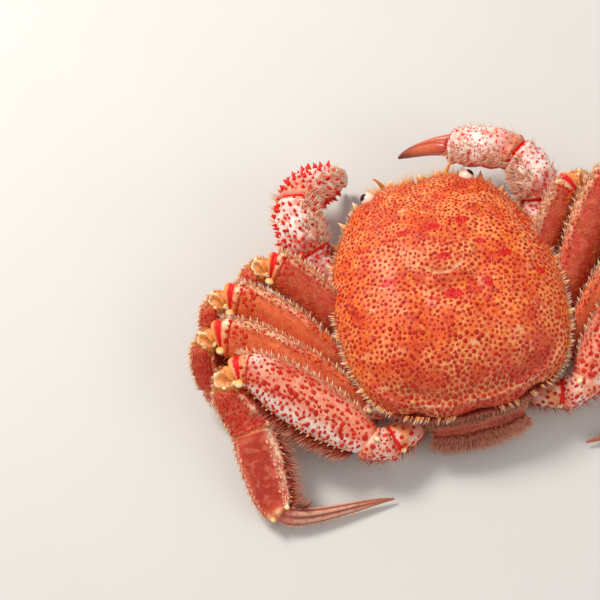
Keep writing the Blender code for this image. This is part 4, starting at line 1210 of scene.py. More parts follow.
@dataclass
class BackShell:
    """The spiny oval back shell, with its grains, teeth and short hairs."""

    palette: Palette
    cells: int = 200
    wall_steps: tuple = (0.15, 0.3, 0.5, 0.7, 0.86, 1.0)
    granule_draws: int = 42000
    granule_radius: float = 0.56
    granule_height: float = 0.4
    grain_clearance: float = 5.2
    hair_clearance: float = 5.0
    margin_hairs: int = 3400
    rear_wall_hairs: int = 1300
    back_hairs: int = 5200
    teeth: tuple = (29.0, 39.0, 49.5, 60.0, 71.0, 83.0, 97.0, 111.0, 125.0)
    brow_teeth: tuple = (4.2, 11.5)

    def model(self) -> Piece:
        """Model the shell: a grid drawn over the dome, its border extruded down as the wall and closed."""
        piece = raise_grid("back_shell", self.cells)
        u, v, _ = read_places(piece).T
        write_places(piece, dome(*disc_of(u, v)))
        edit_border()
        foot = (0, SHELL_CENTRE * MM, SHELL_UNDERSIDE * MM)
        before, down_before = 1.0, 0.0
        for down in self.wall_steps:
            share = float(curve_through(WALL_RINGS, np.array([down]))[0])
            bpy.ops.mesh.extrude_region_move()
            sink = (1.0 - down) / (1.0 - down_before)
            bpy.ops.transform.resize(value=(share / before, share / before, sink), center_override=foot)
            before, down_before = share, down
        for ratio in (0.94, 0.6):
            bpy.ops.mesh.extrude_region_move()
            bpy.ops.transform.resize(value=(ratio, ratio, 1.0), center_override=foot)
        bpy.ops.mesh.edge_face_add()
        edit(False)
        face_outwards(piece)
        self.carve(piece)
        smooth_shade(piece)
        return piece

    def carve(self, piece: Piece) -> None:
        """Sculpt the finer regions and furrows, the sockets of the eyes and the wavy rear rim."""
        places = read_places(piece)
        x, y, z = places.T
        side = np.abs(x)
        top = rising(SHELL_UNDERSIDE + 5, SHELL_UNDERSIDE + 9, z)
        lift = -0.9 * swell(np.hypot(x, (y - 15.0) * 1.15), 8.6, 1.3) * falling(9.0, 13.0, y)
        lift += -0.55 * swell(side - 0.22 * (y - 20), 17.5, 1.6) * rising(2, 10, y) * falling(32, 44, y)
        lift += 0.5 * mound(side, y, (31, 24), (7, 8)) + 0.5 * mound(side, y, (34, -22), (8, 9))
        lift += 0.35 * mound(x, y, (0, 6), (6, 5)) - 0.7 * swell(side, 0.0, 1.0) * rising(30, 38, y)
        places[:, 2] += lift * top
        rear = falling(-38.0, -30.0, y) * rising(SHELL_UNDERSIDE + 1, SHELL_UNDERSIDE + 4, z)
        places[:, 1] += rear * (1.9 * swell(side, 25.0, 4.0) + 0.9 * swell(side, 0.0, 6.0))
        for side_sign in (-1, 1):
            self.hollow(places, side_sign)
        write_places(piece, places)

    @staticmethod
    def hollow(places: Array, side_sign: int) -> None:
        """Press the shell inwards behind one eye, which leaves its socket."""
        knots = np.array(EYE) * np.array([side_sign, 1.0, 1.0])
        steps = np.linspace(0.0, len(knots) - 1.0, 26)
        centres = np.stack([np.interp(steps, range(len(knots)), knots[:, i]) for i in range(3)], -1)
        radii = np.interp(steps, range(len(knots)), EYE_RADII) + 0.45
        near = np.where(np.linalg.norm(places - knots[EYE_KNOT], axis=1) < 14.0)[0]
        inward = unit((-0.45 * side_sign, -0.8, -0.4))
        for centre, radius in zip(centres, radii):
            away = places[near] - centre
            forward = away @ inward
            room = forward ** 2 + radius ** 2 - np.sum(away ** 2, 1)
            step = np.where(room > 0, -forward + np.sqrt(np.maximum(room, 0.0)), 0.0)
            places[near] += np.maximum(step, 0.0)[:, None] * inward

    def spacing(self, x: Array, y: Array, rng: Generator) -> Array:
        """Distance between granules, wider towards the sides and the rear."""
        base = 2.12 - 0.45 * rising(14.0, 40.0, y) - 0.3 * swell(np.hypot(x / 20, (y - 14) / 12), 0.0, 0.8)
        spacing = base * rng.uniform(0.78, 1.15, len(x))
        return np.where(self.smooth_patches(x, y, 0.0) > 0.5, np.inf, spacing)

    @staticmethod
    def smooth_patches(x: Array, y: Array, wobble: Array) -> Array:
        """Share of the pale smooth groove behind the middle swelling, and of the pale patches."""
        pale = swell(np.hypot(x, (y - 15.0) * 1.15), 8.6, 1.0) * falling(10.5, 13.0, y)
        pale = pale * rising(-9.5, -7.0, x)
        for px, py, size in PALE_PATCHES:
            far = np.hypot((x - px) * 0.9 + (y - py) * 0.5, (y - py) * 1.5)
            pale = np.maximum(pale, 0.75 * falling(0.4, 0.95, far / size + wobble * 2.0))
        return pale

    def granules(self, piece: Piece, rng: Generator) -> Array:
        """Set the dark red granules over the dome and the wall.

        Args:
            piece: The finished shell.
            rng: Source of the variation.

        Returns:
            Their roots, for the marks that the shell stores.
        """
        count = self.granule_draws
        share = np.sqrt(rng.uniform(0.0, 1.0, count))
        turn = rng.uniform(-math.pi, math.pi, count)
        places = dome(turn, np.minimum(share * 1.002, 0.995))
        lower = rng.random(count) < 0.12
        places[lower] = wall(turn[lower], rng.uniform(0.05, 0.75, lower.sum()))
        spacing = self.spacing(places[:, 0], places[:, 1], rng)
        spacing[eye_distance(places) < self.grain_clearance] = np.inf
        chosen = thinned(places, spacing)
        roots, normals = Surface(piece).rooted(places[chosen])
        size = self.granule_radius * (spacing[chosen] / 2.4) ** 0.8 * rng.uniform(0.6, 1.35, len(roots))
        along = unit_rows(rng.normal(size=(len(roots), 3)))
        height = self.granule_height / self.granule_radius * size
        sizes = np.stack([size * rng.uniform(1.0, 1.45, len(roots)), size, height], -1)
        grow_grains("back_granules", Stamp.granule(), (roots, normals, along, sizes), self.palette.granules,
                    rng)
        self.sizes = size
        return roots

    def mark(self, piece: Piece, roots: Array, rng: Generator) -> None:
        """Store where the granules, scars, grooves and pale patches are."""
        places = read_places(piece)
        first, second, nearest = nearest_two(places, roots)
        radius = self.sizes[nearest]
        x, y, z = places.T
        upper = rising(SHELL_UNDERSIDE + 1.5, SHELL_UNDERSIDE + 5.0, z)
        wobble = rng.normal(0.0, 0.12, len(x))
        scar = np.zeros(len(x))
        for sx, sy, half_width, half_height in SCARS:
            far = np.hypot((x - sx) / half_width, (y - sy) / half_height)
            scar = np.maximum(scar, falling(0.9, 1.5, far + wobble))
        orbit = falling(3.5, 7.0, eye_distance(places))
        pale = self.smooth_patches(x, y, wobble)
        broken = 0.6 + 0.3 * np.sin(x * 1.1 + 0.6) * np.cos(y * 0.9)
        rear = falling(-44.0, -14.0, y)
        share = np.hypot(x, y - SHELL_CENTRE) / margin_radius(np.arctan2(x, y - SHELL_CENTRE))
        behind = falling(-38.0, -28.0, y)
        below = rising(0.0, 1.6, margin_height(y) - z)
        heart = swell(np.hypot(x / 1.3, y - 9.0), 0.0, 10.0) * rising(-4.0, 3.0, y)
        # Painted highlight: a thin broken cream line along the raised rear rim
        rim = 0.5 * behind * swell(share, 0.942, 0.007) * (1.0 - below)
        border = swell(share, 0.985, 0.022) * (1.0 - below)
        # Darker red: own at the rear and in the middle, painted shade on the wall below the rear rim
        write_masks(
            piece, dot=falling(1.15, 1.95, first / radius) * 0.9 * upper,
            net=falling(0.1, 0.8, second - first) * rising(1.4, 2.0, first / radius),
            scar=np.maximum(scar * rising(38.0, 41.0, z), 0.75 * orbit), fleck=0.55 * upper * (1.0 - scar),
            groove=broken * pale * rising(0.9, 1.3, first / radius) * upper,
            dusk=np.clip(0.72 * rear + 0.5 * heart + 0.7 * below * behind, 0, 1),
            cream=rim * (0.55 + 0.45 * np.sin(x * 0.31 + 1.0)), knuckle=0.3 * border * (1 - rear))

    def dress(self, rng: Generator) -> Piece:
        """Build the shell with all that grows from it."""
        piece = self.model()
        roots = self.granules(piece, rng)
        self.mark(piece, roots, rng)
        place_piece(piece, self.palette.back, ("carapace",))
        self.grow_teeth(rng)
        self.grow_fringe(rng)
        self.grow_wall_hair(rng)
        self.grow_back_hair(piece, roots, rng)
        return piece

    def wall_frames(self, turn: Array, down: Array) -> tuple:
        """Places on the wall, their normals and the way to the rear along the margin."""
        here = wall(turn, down)
        lie = unit_rows(wall(turn + 0.02, down) - wall(turn - 0.02, down))
        normal = unit_rows(np.cross(wall(turn, down - 0.04) - wall(turn, down + 0.04), lie))
        outward = here - np.stack([np.zeros(len(turn)), np.full(len(turn), SHELL_CENTRE), here[:, 2]], -1)
        normal *= np.sign(np.sum(normal * outward, -1, keepdims=True))
        return here, normal, lie * np.sign(turn)[:, None]

    def grow_teeth(self, rng: Generator) -> None:
        """Set the large teeth of the margin and brow, and the many small ones between them."""
        turns, downs, lengths, widths = [], [], [], []
        for side_sign in (-1, 1):
            for x in self.brow_teeth:
                turns.append(side_sign * math.atan2(x, BROW - SHELL_CENTRE))
                downs.append(0.1)
                lengths.append(3.4)
                widths.append(1.6)
            for degrees in self.teeth:
                turns.append(side_sign * math.radians(degrees))
                downs.append(0.12)
                lengths.append(3.5 if degrees < 90 else 2.6)
                widths.append(1.5)
            small = rng.uniform(3.0, 172.0, 330)
            small = small[(small < 19) | (small > 27)]
            turns += list(side_sign * np.radians(small))
            downs += list(rng.uniform(0.0, 0.55, len(small)) ** 1.3)
            lengths += list(rng.uniform(1.2, 2.5, len(small)))
            widths += list(rng.uniform(0.32, 0.55, len(small)))
        turn = np.array(turns)
        here, normal, lie = self.wall_frames(turn, np.array(downs))
        up = unit_rows(normal - lie * 0.35 + np.array([0, 0, 0.12]))
        length = np.array(lengths) * rng.uniform(0.9, 1.1, len(turn))
        width = np.array(widths)
        sizes = np.stack([width, width * 0.8, length], -1)
        grow_grains("margin_teeth", Stamp.spine(), (here, up, lie, sizes), self.palette.teeth,
                    rng)

    @staticmethod
    def unwrap(places: Array) -> Array:
        """Spread the dome and its wall flat round the shell's middle."""
        x, y, z = places.T
        out = np.hypot(x, y - SHELL_CENTRE)
        drop = np.maximum(36.0 - z, 0.0)
        scale = (out + drop) / np.maximum(out, 0.1)
        return np.stack([0.5 + x * scale / 150.0, 0.5 + (y - SHELL_CENTRE) * scale / 150.0], -1)

    def grow_fringe(self, rng: Generator) -> None:
        """Grow the fringe of the margin: cream in front and at the sides, brown at the rear."""
        count = self.margin_hairs
        turn = rng.uniform(-math.pi, math.pi, count)
        down = rng.uniform(-0.02, 0.6, count)
        here, normal, lie = self.wall_frames(turn, np.maximum(down, 0.0))
        keep = eye_distance(here) > self.hair_clearance
        here, normal, lie, turn = here[keep], normal[keep], lie[keep], turn[keep]
        scatter = rng.normal(0.0, 0.22, here.shape)
        ways = unit_rows(normal + lie * -0.15 + scatter + np.array([0, 0, 0.1]))
        lengths = rng.uniform(1.8, 3.6, len(here)) * (1.0 + 0.35 * (np.abs(turn) > 2.3))
        bends = lie * 0.12 + rng.normal(0, 0.1, here.shape) + np.array([0, 0, -0.08])
        radii = rng.uniform(0.13, 0.24, len(here))
        behind = np.abs(turn) > 2.45
        for name, part, finish in (("margin_bristles", ~behind, self.palette.cream_hair),
                                   ("rear_bristles", behind, self.palette.brown_hair)):
            self.coat(name, here[part] - normal[part] * HAIR_DEPTH, ways[part], bends[part], lengths[part],
                      radii[part], finish, rng)

    def grow_wall_hair(self, rng: Generator) -> None:
        """Grow the long hairs that hang from the wall behind."""
        count = self.rear_wall_hairs
        turn = rng.choice([-1.0, 1.0], count) * rng.uniform(2.42, math.pi, count)
        here, normal, lie = self.wall_frames(turn, rng.uniform(0.15, 0.8, count))
        ways = unit_rows(normal + rng.normal(0.0, 0.2, here.shape) + np.array([0, 0, -0.15]))
        bends = np.tile([0.0, -0.1, -0.3], (count, 1)) + rng.normal(0, 0.1, here.shape)
        self.coat("rear_wall_hairs", here - normal * HAIR_DEPTH, ways, bends, rng.uniform(3.2, 5.4, count),
                  rng.uniform(0.12, 0.22, count), self.palette.brown_hair, rng)

    def grow_back_hair(self, piece: Piece, granules: Array, rng: Generator) -> None:
        """Grow the short hairs among the granules."""
        picks = rng.integers(0, len(granules), self.back_hairs)
        around = granules[picks] + rng.normal(0.0, 0.75, (len(picks), 3))
        roots, normals = Surface(piece).rooted(around)
        forward, up = np.full(len(roots), 0.55), np.full(len(roots), 0.1)
        lean = unit_rows(np.stack([roots[:, 0] * 0.006, forward, up], -1))
        ways = unit_rows(normals + lean * 0.8 + rng.normal(0.0, 0.25, roots.shape))
        self.coat("back_hairs", roots - normals * 0.2, ways, lean * 0.3, rng.uniform(0.7, 1.5, len(roots)),
                  rng.uniform(0.06, 0.1, len(roots)), self.palette.cream_hair, rng)

    def coat(self, name: str, roots: Array, ways: Array, bends: Array, lengths: Array, radii: Array,
             material: Material, rng: Generator) -> None:
        """Make one coat piece of the shell."""
        spots = self.unwrap(roots)
        grow_coat(name, roots, ways, bends, lengths, radii, spots, material, "carapace_shell", rng)


def grow_coat(name: str, roots: Array, ways: Array, bends: Array, lengths: Array, radii: Array, spots: Array,
              material: Material, slot: str, rng: Generator, bands: int = 2) -> None:
    """Make a coat piece of hairs.

    Args:
        name: Name of the piece.
        roots: Root of each hair.
        ways: Way in which it leaves the skin.
        bends: Way to which it bends.
        lengths: Its length.
        radii: Its radius.
        spots: Place of its root on the unwrapped skin, from 0 to 1 each way.
        material: Finish of the hairs.
        slot: Not used.
        rng: Source of the variation.
        bands: Lengths between the root and the tip.
    """
    low, high = (np.array(corner) / MM for corner in CAD_BOX)
    slack = (high - low) * OVERREACH
    tips = roots + (ways + bends) * lengths[:, None]
    inside = np.all((tips > low - slack) & (tips < high + slack), axis=1)
    keep = inside & (tips[:, 2] > LEAST_TIP_HEIGHT) & (roots[:, 2] > LEAST_ROOT_HEIGHT)
    roots, ways, bends, lengths, radii, spots = (a[keep] for a in (roots, ways, bends, lengths, radii, spots))
    vertices, faces, tips, rounds = hair_mesh(roots, ways, bends, lengths, radii, bands)
    per_hair = len(vertices) // len(roots)
    patch = np.stack([(tips - 0.5) * BAKE_PATCH, (rounds - 0.5) * BAKE_PATCH], -1)
    unwrap = np.repeat(spots, per_hair, 0) + patch
    masks = {"tip": tips, "tone": np.repeat(rng.random(len(roots)), per_hair)}
    made = joined_piece(name, vertices, faces, masks, unwrap)
    place_piece(made, material)
    log.info("%s: %d hairs", name, len(roots))


# Limbs

@dataclass
class SegmentLook:
    """How one kind of segment is carved, marked and covered; each kind overrides what differs."""

    material: Material
    slot: str = "leg_shell"
    levels: int = 3
    sides: int = 16
    shares: tuple = (0.03, 0.1, 0.2, 0.32, 0.44, 0.56, 0.68, 0.78, 0.87, 0.93, 0.97, 1.0)
    swelling: float = 1.04
    granule_size: float = 0.62
    granule_stretch: float = 1.4
    granule_height: float = 0.34
    halo: float = 1.7
    pointed: bool = False
    grain: str = "granules"

    def carve(self, t: Array, turn: Array) -> Array:
        """Height of the relief in millimetres."""
        return np.zeros_like(t)

    def marks(self, t: Array, turn: Array) -> dict:
        """Masks for the material, by name."""
        return {}

    def spacing(self, t: Array, turn: Array) -> Array:
        """Distance between granules, infinite where there are none."""
        return np.full(len(t), np.inf)

    def crosswise(self, t: Array, turn: Array) -> Array:
        """Whether a granule lies across the limb."""
        return np.zeros(len(t), bool)


@dataclass
class MerusLook(SegmentLook):
    """Longest segment: flat, with a granular back edge, ending in red bands at the knee."""

    granular: bool = False

    def carve(self, t: Array, turn: Array) -> Array:
        """Furrow under the back edge, and the lines and rims before the knee."""
        furrow = -0.5 * band(turn, 46.0, 10.0) * rising(0.1, 0.25, t) * falling(0.7, 0.8, t)
        slant = t - 0.02 * np.cos(np.radians(turn - 40.0))
        lines = -0.6 * swell(slant, 0.83, 0.010) - 0.5 * swell(slant, 0.925, 0.016)
        rims = 0.5 * swell(slant, 0.868, 0.024) + 0.45 * swell(slant, 0.965, 0.018)
        boss = 1.7 * swell(np.hypot((slant - 0.95) / 0.035, turn_gap(turn, 132.0) / 20.0), 0.0, 0.9)
        edge = 0.35 * band(turn, 4.0, 14.0) * (0.5 + 0.5 * np.sin(t * 95.0))
        return furrow + lines + rims + boss + edge * falling(0.8, 0.9, t)

    def marks(self, t: Array, turn: Array) -> dict:
        """Smooth broad faces, red bands and the cream end at the knee."""
        slant = t - 0.02 * np.cos(np.radians(turn - 40.0))
        open_side = beside(turn, 40.0, 85.0, 125.0)
        scar = np.maximum(swell(slant, 0.925, 0.026), 0.9 * swell(slant, 0.835, 0.009)) * open_side
        boss = falling(0.75, 1.1, np.hypot((slant - 0.95) / 0.04, turn_gap(turn, 132.0) / 24.0))
        knuckle = 0.85 * rising(0.948, 0.965, slant) + 0.35 * swell(slant, 0.875, 0.03)
        face = beside(turn, 100.0, 50.0, 75.0) * falling(0.72, 0.84, t)
        edge = beside(turn, 8.0, 14.0, 34.0) * rising(0.3, 0.6, t)
        marks = {"scar": scar * (1 - boss), "knuckle": np.clip(np.maximum(knuckle, boss), 0, 1),
                 "face": face * (0.0 if self.granular else 0.7)}
        if self.granular:
            low = beside(turn, 152.0, 28.0, 62.0)
            near_knee = spot(t, turn, 0.78, 20.0, 0.07, 34.0)
            marks["cream"] = np.clip(0.95 * low + 0.8 * near_knee, 0, 1) * falling(0.86, 0.9, t)
            marks["dusk"] = 0.35 * beside(turn, 0.0, 24.0, 50.0) * falling(0.6, 0.75, t)
        else:
            near_knee = spot(slant, turn, 0.875, 20.0, 0.035, 40.0)
            marks["cream"] = np.clip(0.6 * edge * falling(0.84, 0.9, t) + 0.55 * boss + near_knee, 0, 1)
            # Painted shade: the broad face darker towards the root, where the leg goes in under the back
            # shell
            marks["dusk"] = 0.4 * rising(0.45, 0.12, t) * face
            marks["net"] = 0.25 * face
        marks["fleck"] = self.flecks(t, turn)
        return marks

    def flecks(self, t: Array, turn: Array) -> Array:
        """Share of the red flecks: over the granular face, or else along the pale back edge."""
        if self.granular:
            return 0.4 * beside(turn, 50.0, 40.0, 90.0) * falling(0.88, 0.92, t)
        return 0.9 * beside(turn, 8.0, 24.0, 44.0) * falling(0.9, 0.93, t)

    def spacing(self, t: Array, turn: Array) -> Array:
        """Dense along the back edge; over the whole outer face on the granular rear leg."""
        edge = turn_gap(turn, 5.0)
        spacing = np.where(edge < 30.0, 1.6, 2.35 if self.granular else np.inf)
        if self.granular:
            spacing = np.where(turn_gap(turn, -90.0) < 60.0, 3.4, spacing)
        else:
            spacing = np.where((edge < 75.0) & (t > 0.72), 2.4, spacing)
        return np.where(t > 0.9, np.inf, spacing)

    def crosswise(self, t: Array, turn: Array) -> Array:
        """Tall ovals across the lower half of the granular face."""
        return turn_gap(turn, 130.0) < 52.0


@dataclass
class CarpusLook(SegmentLook):
    """Short segment after the knee: a knobbed head, then dense red grains along its back."""

    swelling: float = 1.06

    def carve(self, t: Array, turn: Array) -> Array:
        """Round knob of the head, a furrow along the outer face and the rim at the far end."""
        head = falling(0.22, 0.3, t)
        ring = self.ring(t, turn)
        lumps = 0.5 * np.sin(t * 52.0) * np.sin(np.radians(turn) * 5.0 + 0.7)
        knob = head * (1.3 * swell(ring, 1.0, 0.3) - 1.1 - 0.5 * swell(ring, 0.0, 0.5) + lumps)
        knob += 1.2 * spot(t, turn, 0.19, 118.0, 0.05, 16.0)
        neck = -0.7 * swell(t, 0.275, 0.03) * beside(turn, 75.0, 70.0, 120.0)
        furrow = -0.6 * band(turn, 100.0, 12.0) * rising(0.3, 0.5, t)
        bosses = 1.1 * spot(t, turn, 0.42, 128.0, 0.08, 14.0)
        bosses += 1.1 * spot(t, turn, 0.66, 132.0, 0.1, 14.0)
        return knob + neck + furrow + bosses + 0.5 * swell(t, 0.94, 0.03)

    def marks(self, t: Array, turn: Array) -> dict:
        """Orange head with a white inlay, red base of the knob and the pale line of the far joint."""
        head = falling(0.2, 0.3, t)
        ring = self.ring(t, turn)
        bosses = spot(t, turn, 0.42, 128.0, 0.08, 14.0)
        bosses += spot(t, turn, 0.66, 132.0, 0.1, 14.0)
        knob = swell(np.hypot((t - 0.17) / 0.05, turn_gap(turn, 128.0) / 16.0), 0.0, 1.1)
        gap = (turn - 62.0 + 180.0) % 360.0 - 180.0
        opening = 0.5 + 0.5 * np.cos(np.arctan2(gap / 36.0, (t - 0.12) / 0.075) + 0.9)
        inlay = swell(ring, 1.0, 0.24) * head * rising(0.25, 0.7, opening)
        return {"knuckle": np.clip(np.maximum(0.8 * head, 0.5 * rising(0.95, 0.98, t)) + 0.4 * knob, 0, 1),
                "cream": np.clip(0.95 * inlay + 0.7 * knob + 0.6 * bosses, 0, 1),
                "dot": 0.5 * swell(ring, 0.2, 0.35) * head,
                "fleck": 0.8 * rising(0.26, 0.34, t),
                "dusk": 0.15 * rising(0.3, 0.45, t) * (1 - bosses)}

    @staticmethod
    def ring(t: Array, turn: Array) -> Array:
        """Distance from the middle of the knob's curled ridge, 1 on the ridge."""
        return np.hypot((t - 0.12) / 0.075, turn_gap(turn, 62.0) / 36.0)

    def spacing(self, t: Array, turn: Array) -> Array:
        """Dense over the back, thinner on the outer face."""
        edge = turn_gap(turn, 10.0)
        spacing = np.where(edge < 60.0, 1.45, np.where(edge < 125.0, 1.9, 4.0))
        return np.where((t < 0.28) | (t > 0.95), np.inf, spacing)


@dataclass
class PropodusLook(SegmentLook):
    """Flat segment before the foot: a smooth crimson middle between knobbed borders."""

    granule_size: float = 0.8
    granule_height: float = 0.7
    halo: float = 1.2
    grain: str = "nodules"

    def carve(self, t: Array, turn: Array) -> Array:
        """Hollow middle of both faces, a ridge beside it and the knobs at the foot."""
        middle = -0.7 * band(turn, 90.0, 24.0) - 0.4 * band(turn, -90.0, 26.0)
        knobs = 0.9 * sum(spot(t, turn, 0.93, c, 0.05, 18.0) for c in (45.0, 90.0, 140.0))
        return middle * rising(0.1, 0.3, t) * falling(0.7, 0.9, t) + knobs + 0.4 * swell(t, 0.05, 0.03)

    def marks(self, t: Array, turn: Array) -> dict:
        """Crimson middle, pale knobs at the foot and a pale line at the near joint."""
        face = beside(turn, 88.0, 20.0, 62.0) * rising(0.03, 0.25, t)
        inner = beside(turn, -90.0, 30.0, 60.0)
        face = np.maximum(face * falling(0.7, 0.92, t), inner)
        knobs = sum(spot(t, turn, 0.93, c, 0.05, 18.0) for c in (45.0, 90.0, 140.0))
        border = beside(turn, 158.0, 12.0, 40.0)
        back = beside(turn, 6.0, 12.0, 44.0)
        return {"face": face * 0.8, "knuckle": np.clip(0.45 * falling(0.01, 0.04, t) + 0.8 * knobs, 0, 1),
                "cream": np.clip(0.75 * border + 0.4 * back + 0.4 * knobs, 0, 1),
                "fleck": 0.6 * np.maximum(border, back)}

    def spacing(self, t: Array, turn: Array) -> Array:
        """Nodules on the borders only."""
        border = np.minimum(turn_gap(turn, 8.0), turn_gap(turn, 158.0))
        return np.where((border < 34.0) & (t > 0.06) & (t < 0.9), 1.75, np.inf)


@dataclass
class DactylusLook(SegmentLook):
    """Foot: a long sharp claw of grooved horn."""

    slot: str = "dactylus_horn"
    levels: int = 2
    swelling: float = 0.88

    def carve(self, t: Array, turn: Array) -> Array:
        """Furrows along both faces."""
        return -0.5 * self.furrow(turn) * falling(0.8, 0.98, t) * rising(0.0, 0.08, t)

    @staticmethod
    def furrow(turn: Array) -> Array:
        """Share of a furrow at a turn."""
        lines = [band(turn, centre, 13.0) for centre in (35.0, 90.0, 145.0, -55.0, -125.0)]
        return np.max(lines, 0)

    def marks(self, t: Array, turn: Array) -> dict:
        """Dark furrows, an orange-brown tip and a red base."""
        return {"furrow": 0.95 * self.furrow(turn), "tip": rising(0.6, 0.95, t) * 0.85,
                "dot": 0.7 * falling(0.02, 0.22, t)}


@dataclass
class CoxaLook(SegmentLook):
    """First segments at the body: pale, with red spots and a red joint line."""

    def carve(self, t: Array, turn: Array) -> Array:
        """Joint ring and rim, and lumps of the outer face."""
        slant = t - 0.06 * np.cos(np.radians(turn - 60.0))
        ring = -0.8 * swell(slant, 0.6, 0.035) + 0.5 * swell(slant, 0.7, 0.04) + 0.5 * swell(t, 0.95, 0.03)
        return ring + 0.35 * np.sin(t * 21.0) * np.sin(np.radians(turn) * 3.0)

    def marks(self, t: Array, turn: Array) -> dict:
        """Cream patches and the red line of the joint."""
        slant = t - 0.06 * np.cos(np.radians(turn - 60.0))
        patch = np.clip(np.sin(t * 17.0) * np.sin(np.radians(turn) * 3.0 + 1.0), 0, 1)
        return {"scar": 0.95 * swell(slant, 0.6, 0.03),
                "cream": np.clip(0.45 * swell(slant, 0.78, 0.09) + 0.7 * patch, 0, 1),
                "knuckle": 0.5 * swell(slant, 0.5, 0.08) + 0.3 * rising(0.96, 0.99, t),
                "fleck": 0.9 * rising(0.62, 0.7, slant)}

    def spacing(self, t: Array, turn: Array) -> Array:
        """Grains beyond the joint line and a few before it."""
        return np.where((t > 0.66) & (t < 0.93), 2.2, np.where(t > 0.2, 3.6, np.inf))


@dataclass
class ClawLook(SegmentLook):
    """Segment of the claw leg: pale pink with tall red cones."""

    granule_size: float = 0.68
    granule_height: float = 1.4
    granule_stretch: float = 1.1
    halo: float = 1.35
    swelling: float = 1.14
    pointed: bool = True
    grain: str = "cones"

    def carve(self, t: Array, turn: Array) -> Array:
        """Rims at both joints, a furrow on the outer face and low lumps."""
        furrow = -0.6 * band(turn, 70.0, 10.0) * swell(t, 0.5, 0.28)
        lumps = 0.4 * np.sin(t * 19.0 + 1.0) * np.sin(np.radians(turn) * 4.0)
        return furrow + lumps + 0.6 * swell(t, 0.93, 0.03) + 0.35 * swell(t, 0.06, 0.03)

    def marks(self, t: Array, turn: Array) -> dict:
        """Red band at the far joint, cream rims, whiter middle of the outer side."""
        outer = beside(turn, 60.0, 60.0, 120.0)
        red = 0.95 * swell(t, 0.99, 0.015) + 0.9 * falling(0.0, 0.03, t)
        white = 0.9 * swell(t, 0.6, 0.36) * outer
        return {"scar": np.clip(red, 0, 1), "cream": np.clip(white + 0.4 * swell(t, 0.93, 0.03), 0, 1),
                "fleck": 0.7 * outer, "knuckle": 0.5 * swell(t, 0.09, 0.04),
                "dusk": 0.35 * falling(0.1, 0.45, t) * outer,
                "face": 0.6 * rising(80, 130, turn_gap(turn, 50.0))}

    def spacing(self, t: Array, turn: Array) -> Array:
        """Cones all over but at the joints."""
        spacing = np.where(turn_gap(turn, 40.0) < 100.0, 2.6, 3.4)
        return np.where((t < 0.06) | (t > 0.95), np.inf, spacing)


@dataclass
class FingerLook(SegmentLook):
    """Finger of the claw: dark grooved horn."""

    slot: str = "claw_tip"
    levels: int = 2

    @staticmethod
    def furrow(turn: Array) -> Array:
        """Share of a furrow at a turn."""
        return np.max([band(turn, centre, 15.0) for centre in (50.0, 110.0, -50.0, -110.0)], 0)

    def carve(self, t: Array, turn: Array) -> Array:
        """Furrows along the finger and low teeth along its inner edges."""
        teeth = band(turn, 180.0, 22.0) * np.maximum(np.sin(t * 40.0), 0.0)
        return -0.35 * self.furrow(turn) * falling(0.75, 0.95, t) + 0.5 * teeth * falling(0.8, 1, t)

    def marks(self, t: Array, turn: Array) -> dict:
        """Red base and dark tip."""
        return {"furrow": self.furrow(turn), "tip": rising(0.4, 0.9, t), "dot": falling(0.05, 0.3, t)}


@dataclass
class Fringe:
    """A band of hairs along a limb."""

    turn: float
    spread: float
    start: float
    end: float
    count: int
    length: tuple
    lean: float
    bend: float
    finish: str
    radius: tuple = (0.12, 0.2)
    sag: float = 0.0


@dataclass
class SpineRow:
    """A row of small pale spines along a limb."""

    turn: float
    start: float
    end: float
    count: int
    length: float
    radius: float


@dataclass
class Knob:
    """A smooth hinge knob at a joint; sizes are half length along the limb, half width and height."""

    turn: float
    share: float
    size: tuple


